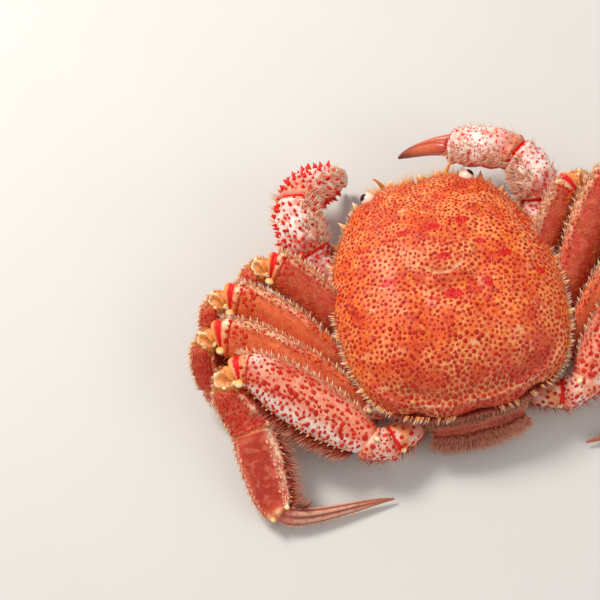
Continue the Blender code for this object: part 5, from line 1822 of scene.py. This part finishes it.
@dataclass
class DressedLimb:
    """One segment of a limb with its skin, granules and hairs."""

    name: str
    limb: Limb
    look: SegmentLook
    fringes: tuple = ()
    rows: tuple = ()
    neck: float = 2.6
    knobs: tuple = ()

    def sections(self) -> tuple:
        """Sections with a narrower neck that goes into the segment before."""
        rows = fine_sections(self.limb.sections, self.look.shares, self.look.swelling)
        first = fine_sections(self.limb.sections, (0.0,), self.look.swelling)[0]
        necks = [(-self.neck * reach / self.limb.length,) + tuple(r * ratio for r in first[1:])
                 for reach, ratio in ((1.0, 0.66), (0.4, 0.84), (-0.1, 0.95))]
        return tuple(necks) + rows

    def model(self) -> Piece:
        """Raise the segment upright, subdivide it, carve it and bend it onto its place."""
        length = self.limb.length
        sections = self.sections()
        piece = raise_bar(self.name, sections, length, self.look.sides)
        apply_modifier(piece, "SUBSURF", levels=self.look.levels, render_levels=self.look.levels)
        upright = read_places(piece)
        t, turn, out = turns_of(upright, sections, length)
        back, belly, half = self.limb.reach(np.clip(t, 0, 1))
        wall_share = rising(0.6, 0.85, out)
        angle = np.radians(turn)
        reach = np.where(np.cos(angle) > 0, back, belly)
        across, up = np.cos(angle) / reach, np.sin(angle) / half
        size = np.maximum(np.hypot(across, up), 1e-6)
        limit = np.minimum(1.0, half / 3.0)
        relief = self.look.carve(t, turn) * wall_share * limit
        upright[:, 1] += across / size * relief
        upright[:, 0] += up / size * relief
        write_places(piece, self.limb.bent(upright))
        self.masks = self.look.marks(t, turn)
        if self.limb.side is Side.LEFT:
            face_outwards(piece)
        smooth_shade(piece)
        return piece

    def granules(self, surface: Surface, rng: Generator) -> tuple:
        """Places, normals, lies and sizes of the segment's granules."""
        back, belly, half = (float(np.mean(r)) for r in self.limb.reach(np.linspace(0, 1, 9)))
        area = self.limb.length * math.pi * (back + belly + 2 * half) / 2
        count = int(area * 2.2)
        t = rng.uniform(0.02, 0.98, count)
        turn = rng.uniform(-180.0, 180.0, count)
        places, _, lies = self.limb.skin(t, turn)
        spacing = self.look.spacing(t, turn) * rng.uniform(0.68, 1.35, count)
        chosen = thinned(places, spacing)
        if not len(chosen):
            return (np.zeros((0, 3)),) * 4
        roots, normals = surface.rooted(places[chosen])
        size = self.look.granule_size * rng.uniform(0.65, 1.25, len(chosen))
        size = size * np.minimum(spacing[chosen] / 2.2, 1.3)
        size = np.minimum(size, self.look.granule_size * 1.35)
        across = self.look.crosswise(t, turn)[chosen]
        stretch = self.look.granule_stretch * np.where(across, 1.4, 1.0) * rng.uniform(0.75, 1.25, len(size))
        sizes = np.stack([size * stretch, size, size * self.look.granule_height / self.look.granule_size], -1)
        lies = np.where(across[:, None], np.cross(normals, lies[chosen]), lies[chosen])
        lies = unit_rows(lies + rng.normal(0.0, 0.25, lies.shape))
        if self.look.pointed:
            normals = unit_rows(normals + lies * 0.3)
        return roots, normals, lies, sizes

    def mark(self, piece: Piece, roots: Array, sizes: Array) -> None:
        """Store the masks of the look and the stain round each granule."""
        masks = dict(self.masks)
        if len(roots):
            first, _, nearest = nearest_two(read_places(piece), roots)
            radius = np.sqrt(sizes[nearest, 0] * sizes[nearest, 1])
            spots = 0.88 * falling(1.0, self.look.halo, first / radius)
            masks["dot"] = np.maximum(spots, masks.get("dot", 0.0))
        write_masks(piece, **masks)

    def hairs(self, fringe: Fringe, surface: Surface, rng: Generator) -> tuple:
        """Roots, ways, bends, lengths, radii and unwrapped places of one fringe."""
        t = rng.uniform(fringe.start, fringe.end, fringe.count)
        turn = fringe.turn + rng.uniform(-fringe.spread, fringe.spread, fringe.count)
        places, normals, lies = self.limb.skin(t, turn)
        roots, _ = surface.rooted(places)
        ways = unit_rows(normals + lies * fringe.lean + rng.normal(0.0, 0.16, places.shape))
        bends = lies * fringe.bend + rng.normal(0.0, 0.12, places.shape) + np.array([0, 0, -fringe.sag])
        lengths = rng.uniform(*fringe.length, fringe.count)
        radii = rng.uniform(*fringe.radius, fringe.count)
        spots = np.stack([t, (turn % 360.0) / 360.0], -1)
        return roots - normals * HAIR_DEPTH, ways, bends, lengths, radii, spots

    def spines(self, row: SpineRow, surface: Surface, rng: Generator) -> tuple:
        """Places, normals, lies and sizes of one row of spines."""
        t = np.linspace(row.start, row.end, row.count) + rng.normal(0, 0.006, row.count)
        places, normals, lies = self.limb.skin(t, row.turn + rng.uniform(-5, 5, row.count))
        roots, _ = surface.rooted(places)
        radius = row.radius * rng.uniform(0.8, 1.2, row.count)
        sizes = np.stack([radius, radius, row.length * rng.uniform(0.75, 1.2, row.count)], -1)
        return roots, unit_rows(normals + lies * 0.4), lies, sizes

    def hinge_knobs(self, surface: Surface) -> tuple:
        """Places, normals, lies and sizes of the hinge knobs."""
        places, normals, lies = self.limb.skin(np.array([k.share for k in self.knobs]),
                                               np.array([k.turn for k in self.knobs]))
        roots, _ = surface.rooted(places)
        return roots, normals, lies, np.array([k.size for k in self.knobs], float)


# The stamp and the finish of each kind of grain
GRAINS = {
    "granules": ("granule", "leg_granules"), "nodules": ("granule", "nodules"), "cones": ("spine", "spines"),
    "spines": ("spine", "teeth"), "knobs": ("knob", "knob_horn"),
}


@dataclass
class JointedLimb:
    """A whole limb: its segments, with granules, spines and hairs joined into one piece of each kind."""

    word: str
    palette: Palette
    segments: dict
    rng: Generator

    def dress(self) -> None:
        """Build every segment, then the granules and the coats of the limb."""
        grains: dict = {}
        coats: dict = {}
        for index, (node, segment) in enumerate(self.segments.items()):
            piece = segment.model()
            nodes = (node,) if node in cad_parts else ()
            place_piece(piece, segment.look.material, nodes)
            surface = Surface(piece)
            made = segment.granules(surface, self.rng)
            segment.mark(piece, made[0], made[3])
            grains.setdefault(segment.look.grain, []).append(made)
            for row in segment.rows:
                grains.setdefault("spines", []).append(segment.spines(row, surface, self.rng))
            if segment.knobs:
                grains.setdefault("knobs", []).append(segment.hinge_knobs(surface))
            for fringe in segment.fringes:
                made = segment.hairs(fringe, surface, self.rng)
                tile = np.array([0.02 + 0.96 * (index + 0.02) / len(self.segments), 0.02])
                spots = tile + made[5] * np.array([0.92 / len(self.segments), 0.95])
                coats.setdefault(fringe.finish, []).append(made[:5] + (spots,))
        for kind, parts in grains.items():
            self.join_grains(kind, parts)
        for finish, parts in coats.items():
            columns = [np.concatenate(column) for column in zip(*parts)]
            material = getattr(self.palette, f"{finish}_hair")
            grow_coat(f"{self.word}_{finish}_hairs", *columns, material, "leg_shell", self.rng, bands=3)
        log.info("%s: %d segments", self.word, len(self.segments))

    def join_grains(self, kind: str, parts: list) -> None:
        """Join all the granules, cones or spines of the limb into one piece."""
        grains = tuple(np.concatenate(column) for column in zip(*parts))
        if len(grains[0]):
            stamp, finish = GRAINS[kind]
            grow_grains(f"{self.word}_{kind}", getattr(Stamp, stamp)(), grains,
                        getattr(self.palette, finish), self.rng)


def walking_leg(plan: LegPlan, palette: Palette, rng: Generator) -> JointedLimb:
    """Choose the looks and fringes of a walking leg."""
    word = f"{plan.side.word}_{plan.name}"
    rear = plan.name == "leg_5"
    dark = plan.name == "leg_2" or (plan.name == "leg_3" and plan.side is Side.RIGHT)
    shell = palette.pink if rear else palette.crimson if dark else palette.flame
    limbs = lay_out_leg(plan)
    if not rear:
        belly = plan.half_width * max(plan.belly_share, 0.72)
        limbs["merus"].sections = scaled(MERUS_SKIN, plan.half_width, belly, plan.half_thickness)
    looks = {
        "coxa": CoxaLook(palette.pink, "belly_shell"),
        "merus": MerusLook(shell, granular=rear, granule_size=0.6),
        "carpus": CarpusLook(palette.knee),
        "propodus": PropodusLook(palette.knee),
        "dactylus": DactylusLook(palette.horn),
    }
    fringes = {
        "coxa": (Fringe(180.0, 60.0, 0.2, 0.95, 150, (3.0, 5.5), 0.3, 0.2, "brown", sag=0.3),
                 Fringe(60.0, 60.0, 0.1, 0.95, 110, (1.2, 2.4), 0.5, 0.2, "gold", (0.08, 0.12))),
        "merus": (
            Fringe(2.0, 20.0, 0.08, 0.92, 300, (1.8, 3.6), 0.9, 0.2, "cream", (0.1, 0.17)),
            Fringe(176.0, 16.0, 0.02, 0.74, 700 if rear else 260, (6.0, 9.0), 0.3, 0.15, "brown",
                   (0.17, 0.28), 0.1),
            Fringe(80.0, 80.0, 0.05, 0.84, 150 if rear else 480, (2.2, 4.2), 1.1, -0.2, "gold", (0.1, 0.15)),
        ),
        "carpus": (
            Fringe(5.0, 32.0, 0.08, 0.98, 170, (1.6, 3.0), 0.4, 0.1, "cream", (0.12, 0.2)),
            Fringe(60.0, 80.0, 0.02, 0.3, 200, (1.4, 2.6), 0.3, 0.1, "gold", (0.1, 0.16)),
            Fringe(60.0, 60.0, 0.3, 0.95, 50, (1.2, 2.2), 0.6, 0.1, "gold", (0.09, 0.13)),
        ),
        "propodus": (
            Fringe(0.0, 24.0, 0.02, 0.98, 200, (1.5, 2.8), 0.4, 0.1, "cream", (0.1, 0.17)),
            Fringe(176.0, 16.0, 0.0, 0.98, 300, (5.4, 8.6), 0.3, 0.12, "brown", (0.15, 0.26), 0.05),
        ),
        "dactylus": (
            Fringe(180.0, 40.0, 0.0, 0.3, 90, (3.0, 5.6), 0.5, 0.15, "brown", (0.14, 0.22)),
            Fringe(0.0, 35.0, 0.0, 0.22, 50, (1.5, 2.6), 0.6, 0.1, "cream"),
        ),
    }
    rows = {
        "merus": (SpineRow(0.0, 0.12, 0.9, 20, 1.9, 0.5), SpineRow(163.0, 0.1, 0.72, 16, 1.1, 0.42)),
        "carpus": (SpineRow(-4.0, 0.14, 0.95, 12, 1.5, 0.5), SpineRow(18.0, 0.2, 0.95, 10, 1.2, 0.45)),
        "propodus": (SpineRow(0.0, 0.06, 0.95, 14, 1.3, 0.45), SpineRow(168.0, 0.06, 0.9, 12, 1.4, 0.5)),
        "dactylus": (SpineRow(0.0, 0.1, 0.7, 12, 0.7, 0.3),),
    }
    knobs = {
        "merus": (Knob(122.0, 0.955, (2.1, 1.8, 2.0)),),
        "carpus": (Knob(150.0, 0.95, (1.3, 1.1, 1.1)), Knob(100.0, 0.06, (1.5, 1.1, 1.0)),
                   Knob(22.0, 0.12, (1.1, 1.2, 0.9)), Knob(70.0, 0.22, (0.9, 1.3, 0.8))),
        "propodus": (Knob(50.0, 0.95, (1.3, 1.2, 1.1)), Knob(132.0, 0.955, (1.4, 1.3, 1.2))),
        "coxa": (Knob(60.0, 0.93, (1.6, 1.3, 1.2)), Knob(140.0, 0.6, (1.5, 1.3, 1.2))),
    }
    segments = {
        f"{word}_{name}": DressedLimb(f"{word}_{name}_shell", limb, looks[name], fringes[name],
                                      rows.get(name, ()), knobs=knobs.get(name, ()))
        for name, limb in limbs.items()
    }
    return JointedLimb(word, palette, segments, rng)


def claw_leg(plan: ClawPlan, palette: Palette, rng: Generator) -> JointedLimb:
    """Choose the looks and fringes of a claw leg."""
    word = f"{plan.side.word}_claw"
    limbs = lay_out_claw(plan)
    looks = {
        "coxa": CoxaLook(palette.pink, "belly_shell"),
        "merus": ClawLook(palette.claw, swelling=1.05),
        "carpus": ClawLook(palette.claw),
        "palm": ClawLook(palette.claw),
        "finger": FingerLook(palette.finger),
        "fixed_finger": FingerLook(palette.finger),
    }
    fringes = {
        "merus": (Fringe(0.0, 60.0, 0.1, 0.95, 150, (2.0, 3.6), 0.4, 0.1, "cream"),),
        "carpus": (
            Fringe(0.0, 30.0, 0.05, 0.95, 240, (3.2, 5.4), 0.5, 0.1, "cream", (0.17, 0.3)),
            Fringe(180.0, 26.0, 0.1, 0.95, 190, (4.0, 7.0), 0.4, 0.3, "gold", (0.17, 0.28)),
            Fringe(60.0, 40.0, 0.05, 0.95, 60, (1.2, 2.6), 0.6, 0.1, "cream", (0.1, 0.16)),
        ),
        "palm": (
            Fringe(0.0, 28.0, 0.05, 0.95, 170, (2.4, 4.6), 0.5, 0.1, "cream", (0.17, 0.28)),
            Fringe(180.0, 24.0, 0.05, 0.98, 300, (5.5, 9.0), 0.4, 0.35, "gold", (0.18, 0.3)),
            Fringe(60.0, 40.0, 0.05, 0.95, 50, (1.2, 2.6), 0.6, 0.1, "cream", (0.1, 0.16)),
        ),
    }
    segments = {
        f"{word}_{name}": DressedLimb(f"{word}_{name}_shell", limb, looks[name], fringes.get(name, ()),
                                      neck=0.6 if "finger" in name else 2.6)
        for name, limb in limbs.items()
    }
    return JointedLimb(word, palette, segments, rng)


# Body and head

@dataclass
class Rod:
    """A bent bar through several points, for the tail, an eye, a feeler or a mouth plate."""

    name: str
    points: tuple
    widths: tuple
    halves: tuple
    facing: tuple
    side: Side = Side.RIGHT
    sides: int = 16
    steps: int = 14
    levels: int = 2

    def __post_init__(self) -> None:
        """Measure the way along the points."""
        self.knots = np.array(self.points, float)
        steps = np.linalg.norm(np.diff(self.knots, axis=0), axis=1)
        self.length = float(steps.sum())
        self.places = np.r_[0.0, np.cumsum(steps)] / self.length
        shares = tuple(np.linspace(0.0, 1.0, self.steps))
        rows = tuple(zip(self.places, self.widths, self.widths, self.halves))
        self.sections = fine_sections(rows, shares, 1.03)

    def at(self, t: Array) -> Array:
        """Points of the middle line at shares of its length."""
        return np.stack([curve_through(tuple(zip(self.places, self.knots[:, i])), t) for i in range(3)], -1)

    def way(self, t: Array) -> Array:
        """Way along the middle line at shares of its length."""
        return unit_rows(self.at(np.minimum(1.0, t + WAY_STEP)) - self.at(np.maximum(0.0, t - WAY_STEP)))

    def bent(self, upright: Array) -> Array:
        """Bend an upright model along the points."""
        t = upright[:, 2] / self.length
        inside = np.clip(t, 0.0, 1.0)
        way = self.way(inside)
        facing = np.array(self.facing, float)
        thin = unit_rows(facing - way * (way @ facing)[:, None])
        edge = np.cross(thin, way)
        place = self.at(inside) + way * ((t - inside) * self.length)[:, None]
        place = place + thin * upright[:, :1] + edge * upright[:, 1:2]
        return place * np.array([self.side.value, 1.0, 1.0])

    def model(self) -> tuple:
        """Raise the rod upright and subdivide it.

        Returns:
            The piece, its upright vertices, and each vertex's share of the length and turn.
        """
        piece = raise_bar(self.name, self.sections, self.length, self.sides)
        apply_modifier(piece, "SUBSURF", levels=self.levels, render_levels=self.levels)
        upright = read_places(piece)
        t, turn, _ = turns_of(upright, self.sections, self.length)
        return piece, upright, t, turn


@dataclass
class Head:
    """Eyes on their stalks, feelers, and the plates that close the mouth."""

    palette: Palette
    rng: Generator

    def eye(self, side: Side) -> None:
        """Stalk of shell with a black cornea under a cream lid."""
        radii = tuple(r * 0.97 for r in EYE_RADII)
        rod = Rod(f"{side.word}_eye_ball", EYE, radii, radii, (0, 0, 1), side, levels=3)
        piece, upright, t, turn = rod.model()
        upright[:, :2] *= 1.0 - 0.1 * swell(t, 0.46, 0.03)[:, None]
        settle(piece, rod.bent(upright))
        lid = beside(turn, 90.0, 104.0, 116.0) * falling(0.93, 0.97, t)
        write_masks(piece, stalk=falling(0.5, 0.58, t + 0.04 * np.sin(np.radians(turn) * 3.0)),
                    cream=np.clip(lid * rising(0.46, 0.5, t), 0, 1))
        place_piece(piece, self.palette.cornea, (f"{side.word}_eye",))

    def feeler(self, side: Side) -> None:
        """Ringed feeler, golden with a red root."""
        rod = Rod(f"{side.word}_feeler", ANTENNA, ANTENNA_RADII, ANTENNA_RADII, (1, 0, 0), side, 10, 22)
        piece, upright, t, _ = rod.model()
        waves = 1.0 + 0.1 * np.sin(t * 2.0 * math.pi * 15.0) * rising(0.25, 0.35, t)
        upright[:, :2] *= waves[:, None]
        settle(piece, rod.bent(upright))
        write_masks(piece, scar=0.8 * falling(0.2, 0.4, t), knuckle=rising(0.4, 0.7, t))
        place_piece(piece, self.palette.back, (f"{side.word}_antenna",))

    def mouth_plate(self, side: Side) -> None:
        """Plate over the mouth with a joint across it."""
        halves = (MOUTH_PLATE_HALF_THICKNESS,) * 3
        rod = Rod(f"{side.word}_mouth_plate", MOUTH_PLATE, MOUTH_PLATE_HALF_WIDTHS, halves, (0, 1, -0.6),
                  side)
        piece, upright, t, _ = rod.model()
        joint = 1.0 - 0.1 * swell(t, 0.55, 0.03) + 0.03 * swell(t, 0.62, 0.04)
        upright[:, :2] *= joint[:, None]
        settle(piece, rod.bent(upright))
        # Painted shade: darker towards the plate's upper end, under the brow
        write_masks(piece, scar=0.6 * swell(t, 0.55, 0.02), cream=0.4 * swell(t, 0.3, 0.2),
                    dusk=0.5 * rising(0.7, 1.0, t))
        place_piece(piece, self.palette.belly, (f"{side.word}_maxilliped",))

    def tufts(self) -> None:
        """Golden hairs round the feelers and over the mouth plates."""
        count = 1200
        side = self.rng.choice([-1.0, 1.0], count)
        x = side * self.rng.uniform(1.0, 21.0, count)
        z = self.rng.uniform(26.0, 33.0, count)
        y = 58.6 - np.abs(x) * 0.1 + self.rng.uniform(-1.0, 1.2, count)
        roots = np.stack([x, y, z], -1)
        ways = unit_rows(np.stack([x * 0.012, np.full(count, 1.0), self.rng.uniform(0.0, 1.1, count)], -1)
                         + self.rng.normal(0, 0.16, (count, 3)))
        bends = np.stack([x * 0.006, np.full(count, 0.1), np.full(count, 0.1)], -1)
        lengths = self.rng.uniform(4.0, 7.5, count)
        spots = np.stack([0.5 + x / 60.0, 0.1 + (z - 25.0) / 8.0], -1)
        grow_coat("front_tufts", roots, ways, bends, lengths, self.rng.uniform(0.1, 0.18, count), spots,
                  self.palette.gold_hair, "carapace_shell", self.rng)

    def dress(self) -> None:
        """Build the head."""
        for side in Side:
            self.eye(side)
            self.feeler(side)
            self.mouth_plate(side)
        self.tufts()
        log.info("head done")


@dataclass
class Body:
    """Thorax with its grooved belly plates, and the banded tail flap with its fringes."""

    palette: Palette
    rng: Generator
    cells: int = 80
    flank_steps: tuple = (2.0, 5.0, 9.0, 13.0, 17.0, 20.5, 23.85)
    seams: tuple = (-33.0, 11.5, 0.28)

    def outline(self, turn: Array, z: Array) -> tuple:
        """Outline of the thorax at a height."""
        table = np.array(THORAX_LEVELS, float)
        half, front, rear = (np.interp(z, table[:, 0], table[:, i]) for i in (1, 2, 3))
        power = 2.0 / THORAX_SQUARENESS
        x = np.sign(np.sin(turn)) * np.abs(np.sin(turn)) ** power * half
        y = (front + rear) / 2 + np.sign(np.cos(turn)) * np.abs(np.cos(turn)) ** power * (front - rear) / 2
        return x, y

    def from_seam(self, x: Array, y: Array) -> Array:
        """Distance to the nearest of the slanted seams between the belly plates."""
        first, step, slant = self.seams
        return np.min([np.abs(y - first - i * step + np.abs(x) * slant) for i in range(6)], 0)

    def thorax(self) -> None:
        """Model the thorax: a grid for the belly, its border extruded up as flanks and closed."""
        piece = raise_grid("belly_plates", self.cells)
        edit_border()
        for low, high in zip((0.0,) + self.flank_steps, self.flank_steps):
            bpy.ops.mesh.extrude_region_move(TRANSFORM_OT_translate={"value": (0, 0, (high - low) * MM)})
        bpy.ops.mesh.edge_face_add()
        edit(False)
        u, v, z = read_places(piece).T
        turn, share = disc_of(u, v)
        rim_x, rim_y = self.outline(turn, z)
        _, middle = self.outline(np.full(len(z), math.pi / 2), z)
        px, py = rim_x * share, middle + (rim_y - middle) * share
        side = np.abs(px)
        belly = (z < 0.01).astype(float)
        groove = swell(self.from_seam(px, py), 0.0, 0.8) * rising(10.5, 13.0, side)
        groove *= falling(0.92, 0.99, share)
        flap = falling(10.3, 11.3, side) * falling(-10.0, -8.0, py)
        lift = 3.9 * flap + 0.9 * groove * (1 - flap) + 0.5 * swell(px, 0.0, 0.7) * rising(-9.0, -6.0, py)
        lift += 1.4 * rising(0.93, 1.0, share) ** 2
        write_places(piece, np.stack([px, py, z + belly * lift], -1))
        face_outwards(piece)
        px, py, pz = read_places(piece).T
        # Painted shade: the flanks darker towards the top, under the back shell
        write_masks(piece, knuckle=0.6 * swell(self.from_seam(px, py), 0.0, 1.1),
                    cream=0.3 * swell(np.abs(px), 16.0, 6.0), dusk=0.45 * rising(14.0, 22.0, pz))
        smooth_shade(piece)
        place_piece(piece, self.palette.belly, ("thorax",))

    def tail(self) -> None:
        """Model the tail flap: six bands bent round the rear, and the tongue under the belly."""
        points = tuple((0.0, y, z) for y, z, _ in TAIL_LINE)
        widths = tuple(w for _, _, w in TAIL_LINE)
        halves = (TAIL_HALF_THICKNESS,) * len(points)
        rod = Rod("tail_flap", points, widths, halves, (0, -0.2, -1), sides=28, steps=20)
        piece, upright, t, _ = rod.model()
        # The path turns through a right angle, so its outer side is read from the place, not from one facing
        here = rod.at(np.clip(t, 0, 1))
        way = rod.way(t)
        thin = unit_rows(np.stack([np.zeros(len(t)), way[:, 2], -way[:, 1]], -1))
        bands = -0.9 * rings(t, (0.36, 0.5, 0.62, 0.74, 0.86), 0.014)
        bands += 0.5 * rings(t, (0.42, 0.56, 0.68, 0.8), 0.035)
        edge = np.cross(thin, way)
        size = 1.0 + bands[:, None] / (TAIL_HALF_THICKNESS * 2.0)
        place = here + thin * upright[:, :1] * size + edge * upright[:, 1:2] * (1.0 + 0.02 * bands[:, None])
        place[:, 2] = np.maximum(place[:, 2], 0.15)
        settle(piece, place)
        # Painted shadow: the flap darker at its front, where it goes in under the rear rim
        write_masks(piece, dot=0.5 * rings(t, (0.36, 0.5, 0.62, 0.74), 0.02),
                    knuckle=0.35 * rings(t, (0.43, 0.57, 0.69), 0.03), dusk=0.4 * falling(0.3, 0.45, t))
        place_piece(piece, self.palette.tail, ("abdomen",))
        self.tongue()
        self.tail_hair(Surface(piece))

    def tongue(self) -> None:
        """End of the tail flap, tucked under the belly in three bands."""
        rows = fine_sections(TONGUE, tuple(np.linspace(0.0, 1.0, 12)), 1.02)
        piece = raise_bar("tail_tongue", rows, TONGUE_LENGTH, 16)
        apply_modifier(piece, "SUBSURF", levels=2, render_levels=2)
        upright = read_places(piece)
        t = upright[:, 2] / TONGUE_LENGTH
        lines = 1.0 - 0.12 * rings(t, (0.3, 0.6), 0.02)
        level = TONGUE_LEVEL + upright[:, 0] * lines
        settle(piece, np.stack([upright[:, 1] * lines, TONGUE_REAR + upright[:, 2], level], -1))
        write_masks(piece, knuckle=0.5 * rings(t, (0.3, 0.6), 0.03))
        place_piece(piece, self.palette.belly)

    def tail_hair(self, surface: Surface) -> None:
        """Cover the tail with short brown hair and hang a long fringe along its rear edge."""
        for name, count, rear, low, high, lengths, radii in (
                ("tail_top_hairs", 1500, -46.0, 26.0, 28.0, (1.8, 3.4), (0.12, 0.2)),
                ("tail_hairs", 2400, -56.0, 6.0, 23.5, (1.8, 3.8), (0.13, 0.22)),
                ("tail_fringe", 1100, -56.0, 8.0, 18.0, (3.8, 6.0), (0.17, 0.28))):
            x = self.rng.uniform(-23.5, 23.5, count)
            z = self.rng.uniform(low, high, count)
            guess = np.stack([x, rear - 7.0 * self.rng.random(count) + np.abs(x) * 0.1, z], -1)
            roots, normals = surface.rooted(guess)
            down = np.array([0.0, -0.1, -0.35])
            ways = unit_rows(normals + down + np.stack([x * 0.035, 0 * x, 0 * x], -1)
                             + self.rng.normal(0, 0.2, roots.shape))
            bends = np.tile([0.0, -0.05, -0.25], (count, 1)) + self.rng.normal(0, 0.08, roots.shape)
            spots = np.stack([0.5 + x / 50.0, z / 30.0], -1)
            hairs = (roots - normals * HAIR_DEPTH, ways, bends, self.rng.uniform(*lengths, count),
                     self.rng.uniform(*radii, count), spots)
            grow_coat(name, *hairs, self.palette.brown_hair, "belly_shell", self.rng, bands=3)

    def dress(self) -> None:
        """Build the thorax and the tail."""
        self.thorax()
        self.tail()
        log.info("body done")


@dataclass
class Studio:
    """Pale floor, soft light and the photo's camera."""

    azimuth: float = -14.5
    elevation: float = 67.0
    lens: float = 100.0
    aim: tuple = (0.0, 0.0, 45.0)
    aim_pixel: tuple = (450.0, 295.0)
    pixels_per_mm: float = 2.38
    frame_pixels: float = 600.0
    sensor: float = 36.0

    def add_floor(self) -> None:
        """Lay a wide floor, a little below the rest plane so that nothing flickers in it."""
        deselect()
        bpy.ops.mesh.primitive_plane_add(size=6.0, location=(0, 0, -0.0001))
        floor = bpy.context.active_object
        floor.name = "studio_floor"
        floor.data.materials.append(PlainPaint("floor_paint", "#DAD7D2").make())

    def add_camera(self) -> None:
        """Set up the camera so that the aim falls on its pixel."""
        a, e = math.radians(self.azimuth), math.radians(self.elevation)
        back = np.array([math.sin(a) * math.cos(e), -math.cos(a) * math.cos(e), math.sin(e)])
        right = np.array([math.cos(a), math.sin(a), 0.0])
        up = np.cross(back, right)
        focal = self.lens / self.sensor * self.frame_pixels
        across = self.aim_pixel[0] - self.frame_pixels / 2
        above = self.frame_pixels / 2 - self.aim_pixel[1]
        distance = focal / self.pixels_per_mm * math.sqrt(1 + (across / focal) ** 2 + (above / focal) ** 2)
        place = np.array(self.aim) + back * distance
        swing = math.atan(across / focal)
        right, back = (right * math.cos(swing) - back * math.sin(swing),
                       back * math.cos(swing) + right * math.sin(swing))
        tilt = math.atan(above / focal * math.cos(swing))
        up, back = up * math.cos(tilt) - back * math.sin(tilt), back * math.cos(tilt) + up * math.sin(tilt)
        data = bpy.data.cameras.new("camera")
        data.lens = self.lens
        data.sensor_width = self.sensor
        data.clip_start = 0.05
        data.clip_end = 20.0
        camera = bpy.data.objects.new("camera", data)
        bpy.context.scene.collection.objects.link(camera)
        axes = Matrix((right, up, back)).transposed().to_4x4()
        camera.matrix_world = Matrix.Translation(place * MM) @ axes
        bpy.context.scene.camera = camera

    def add_light(self, name: str, place: tuple, size: float, power: float, colour: tuple) -> None:
        """Hang a soft square light that looks at the crab."""
        data = bpy.data.lights.new(name, "AREA")
        data.size = size
        data.energy = power
        data.color = colour
        lamp = bpy.data.objects.new(name, data)
        bpy.context.scene.collection.objects.link(lamp)
        lamp.location = place
        lamp.rotation_euler = (Vector((0, 0, 0.03)) - Vector(place)).to_track_quat("-Z", "Y").to_euler()

    def build(self) -> None:
        """Build the whole studio."""
        self.add_floor()
        self.add_camera()
        self.add_light("key", (-0.35, 0.45, 0.75), 0.26, 6.6, (1.0, 0.97, 0.93))
        self.add_light("fill", (0.6, -0.5, 0.6), 0.6, 2.0, (1.0, 0.98, 0.96))
        world = bpy.data.worlds.new("studio")
        world.use_nodes = True
        world.node_tree.nodes["Background"].inputs["Color"].default_value = (1.0, 0.99, 0.98, 1.0)
        world.node_tree.nodes["Background"].inputs["Strength"].default_value = 0.5
        bpy.context.scene.world = world
        bpy.context.scene.view_settings.view_transform = "Standard"


def main() -> None:
    """Build the crab piece by piece, then the studio."""
    logging.basicConfig(level=logging.INFO, format="%(message)s")
    rng = np.random.default_rng(SEED)
    palette = Palette()
    BackShell(palette).dress(rng)
    log.info("back shell done")
    Body(palette, rng).dress()
    Head(palette, rng).dress()
    for plan in LEGS:
        walking_leg(plan, palette, rng).dress()
    for plan in CLAWS:
        claw_leg(plan, palette, rng).dress()
    Studio().build()


if __name__ == "__main__":
    main()
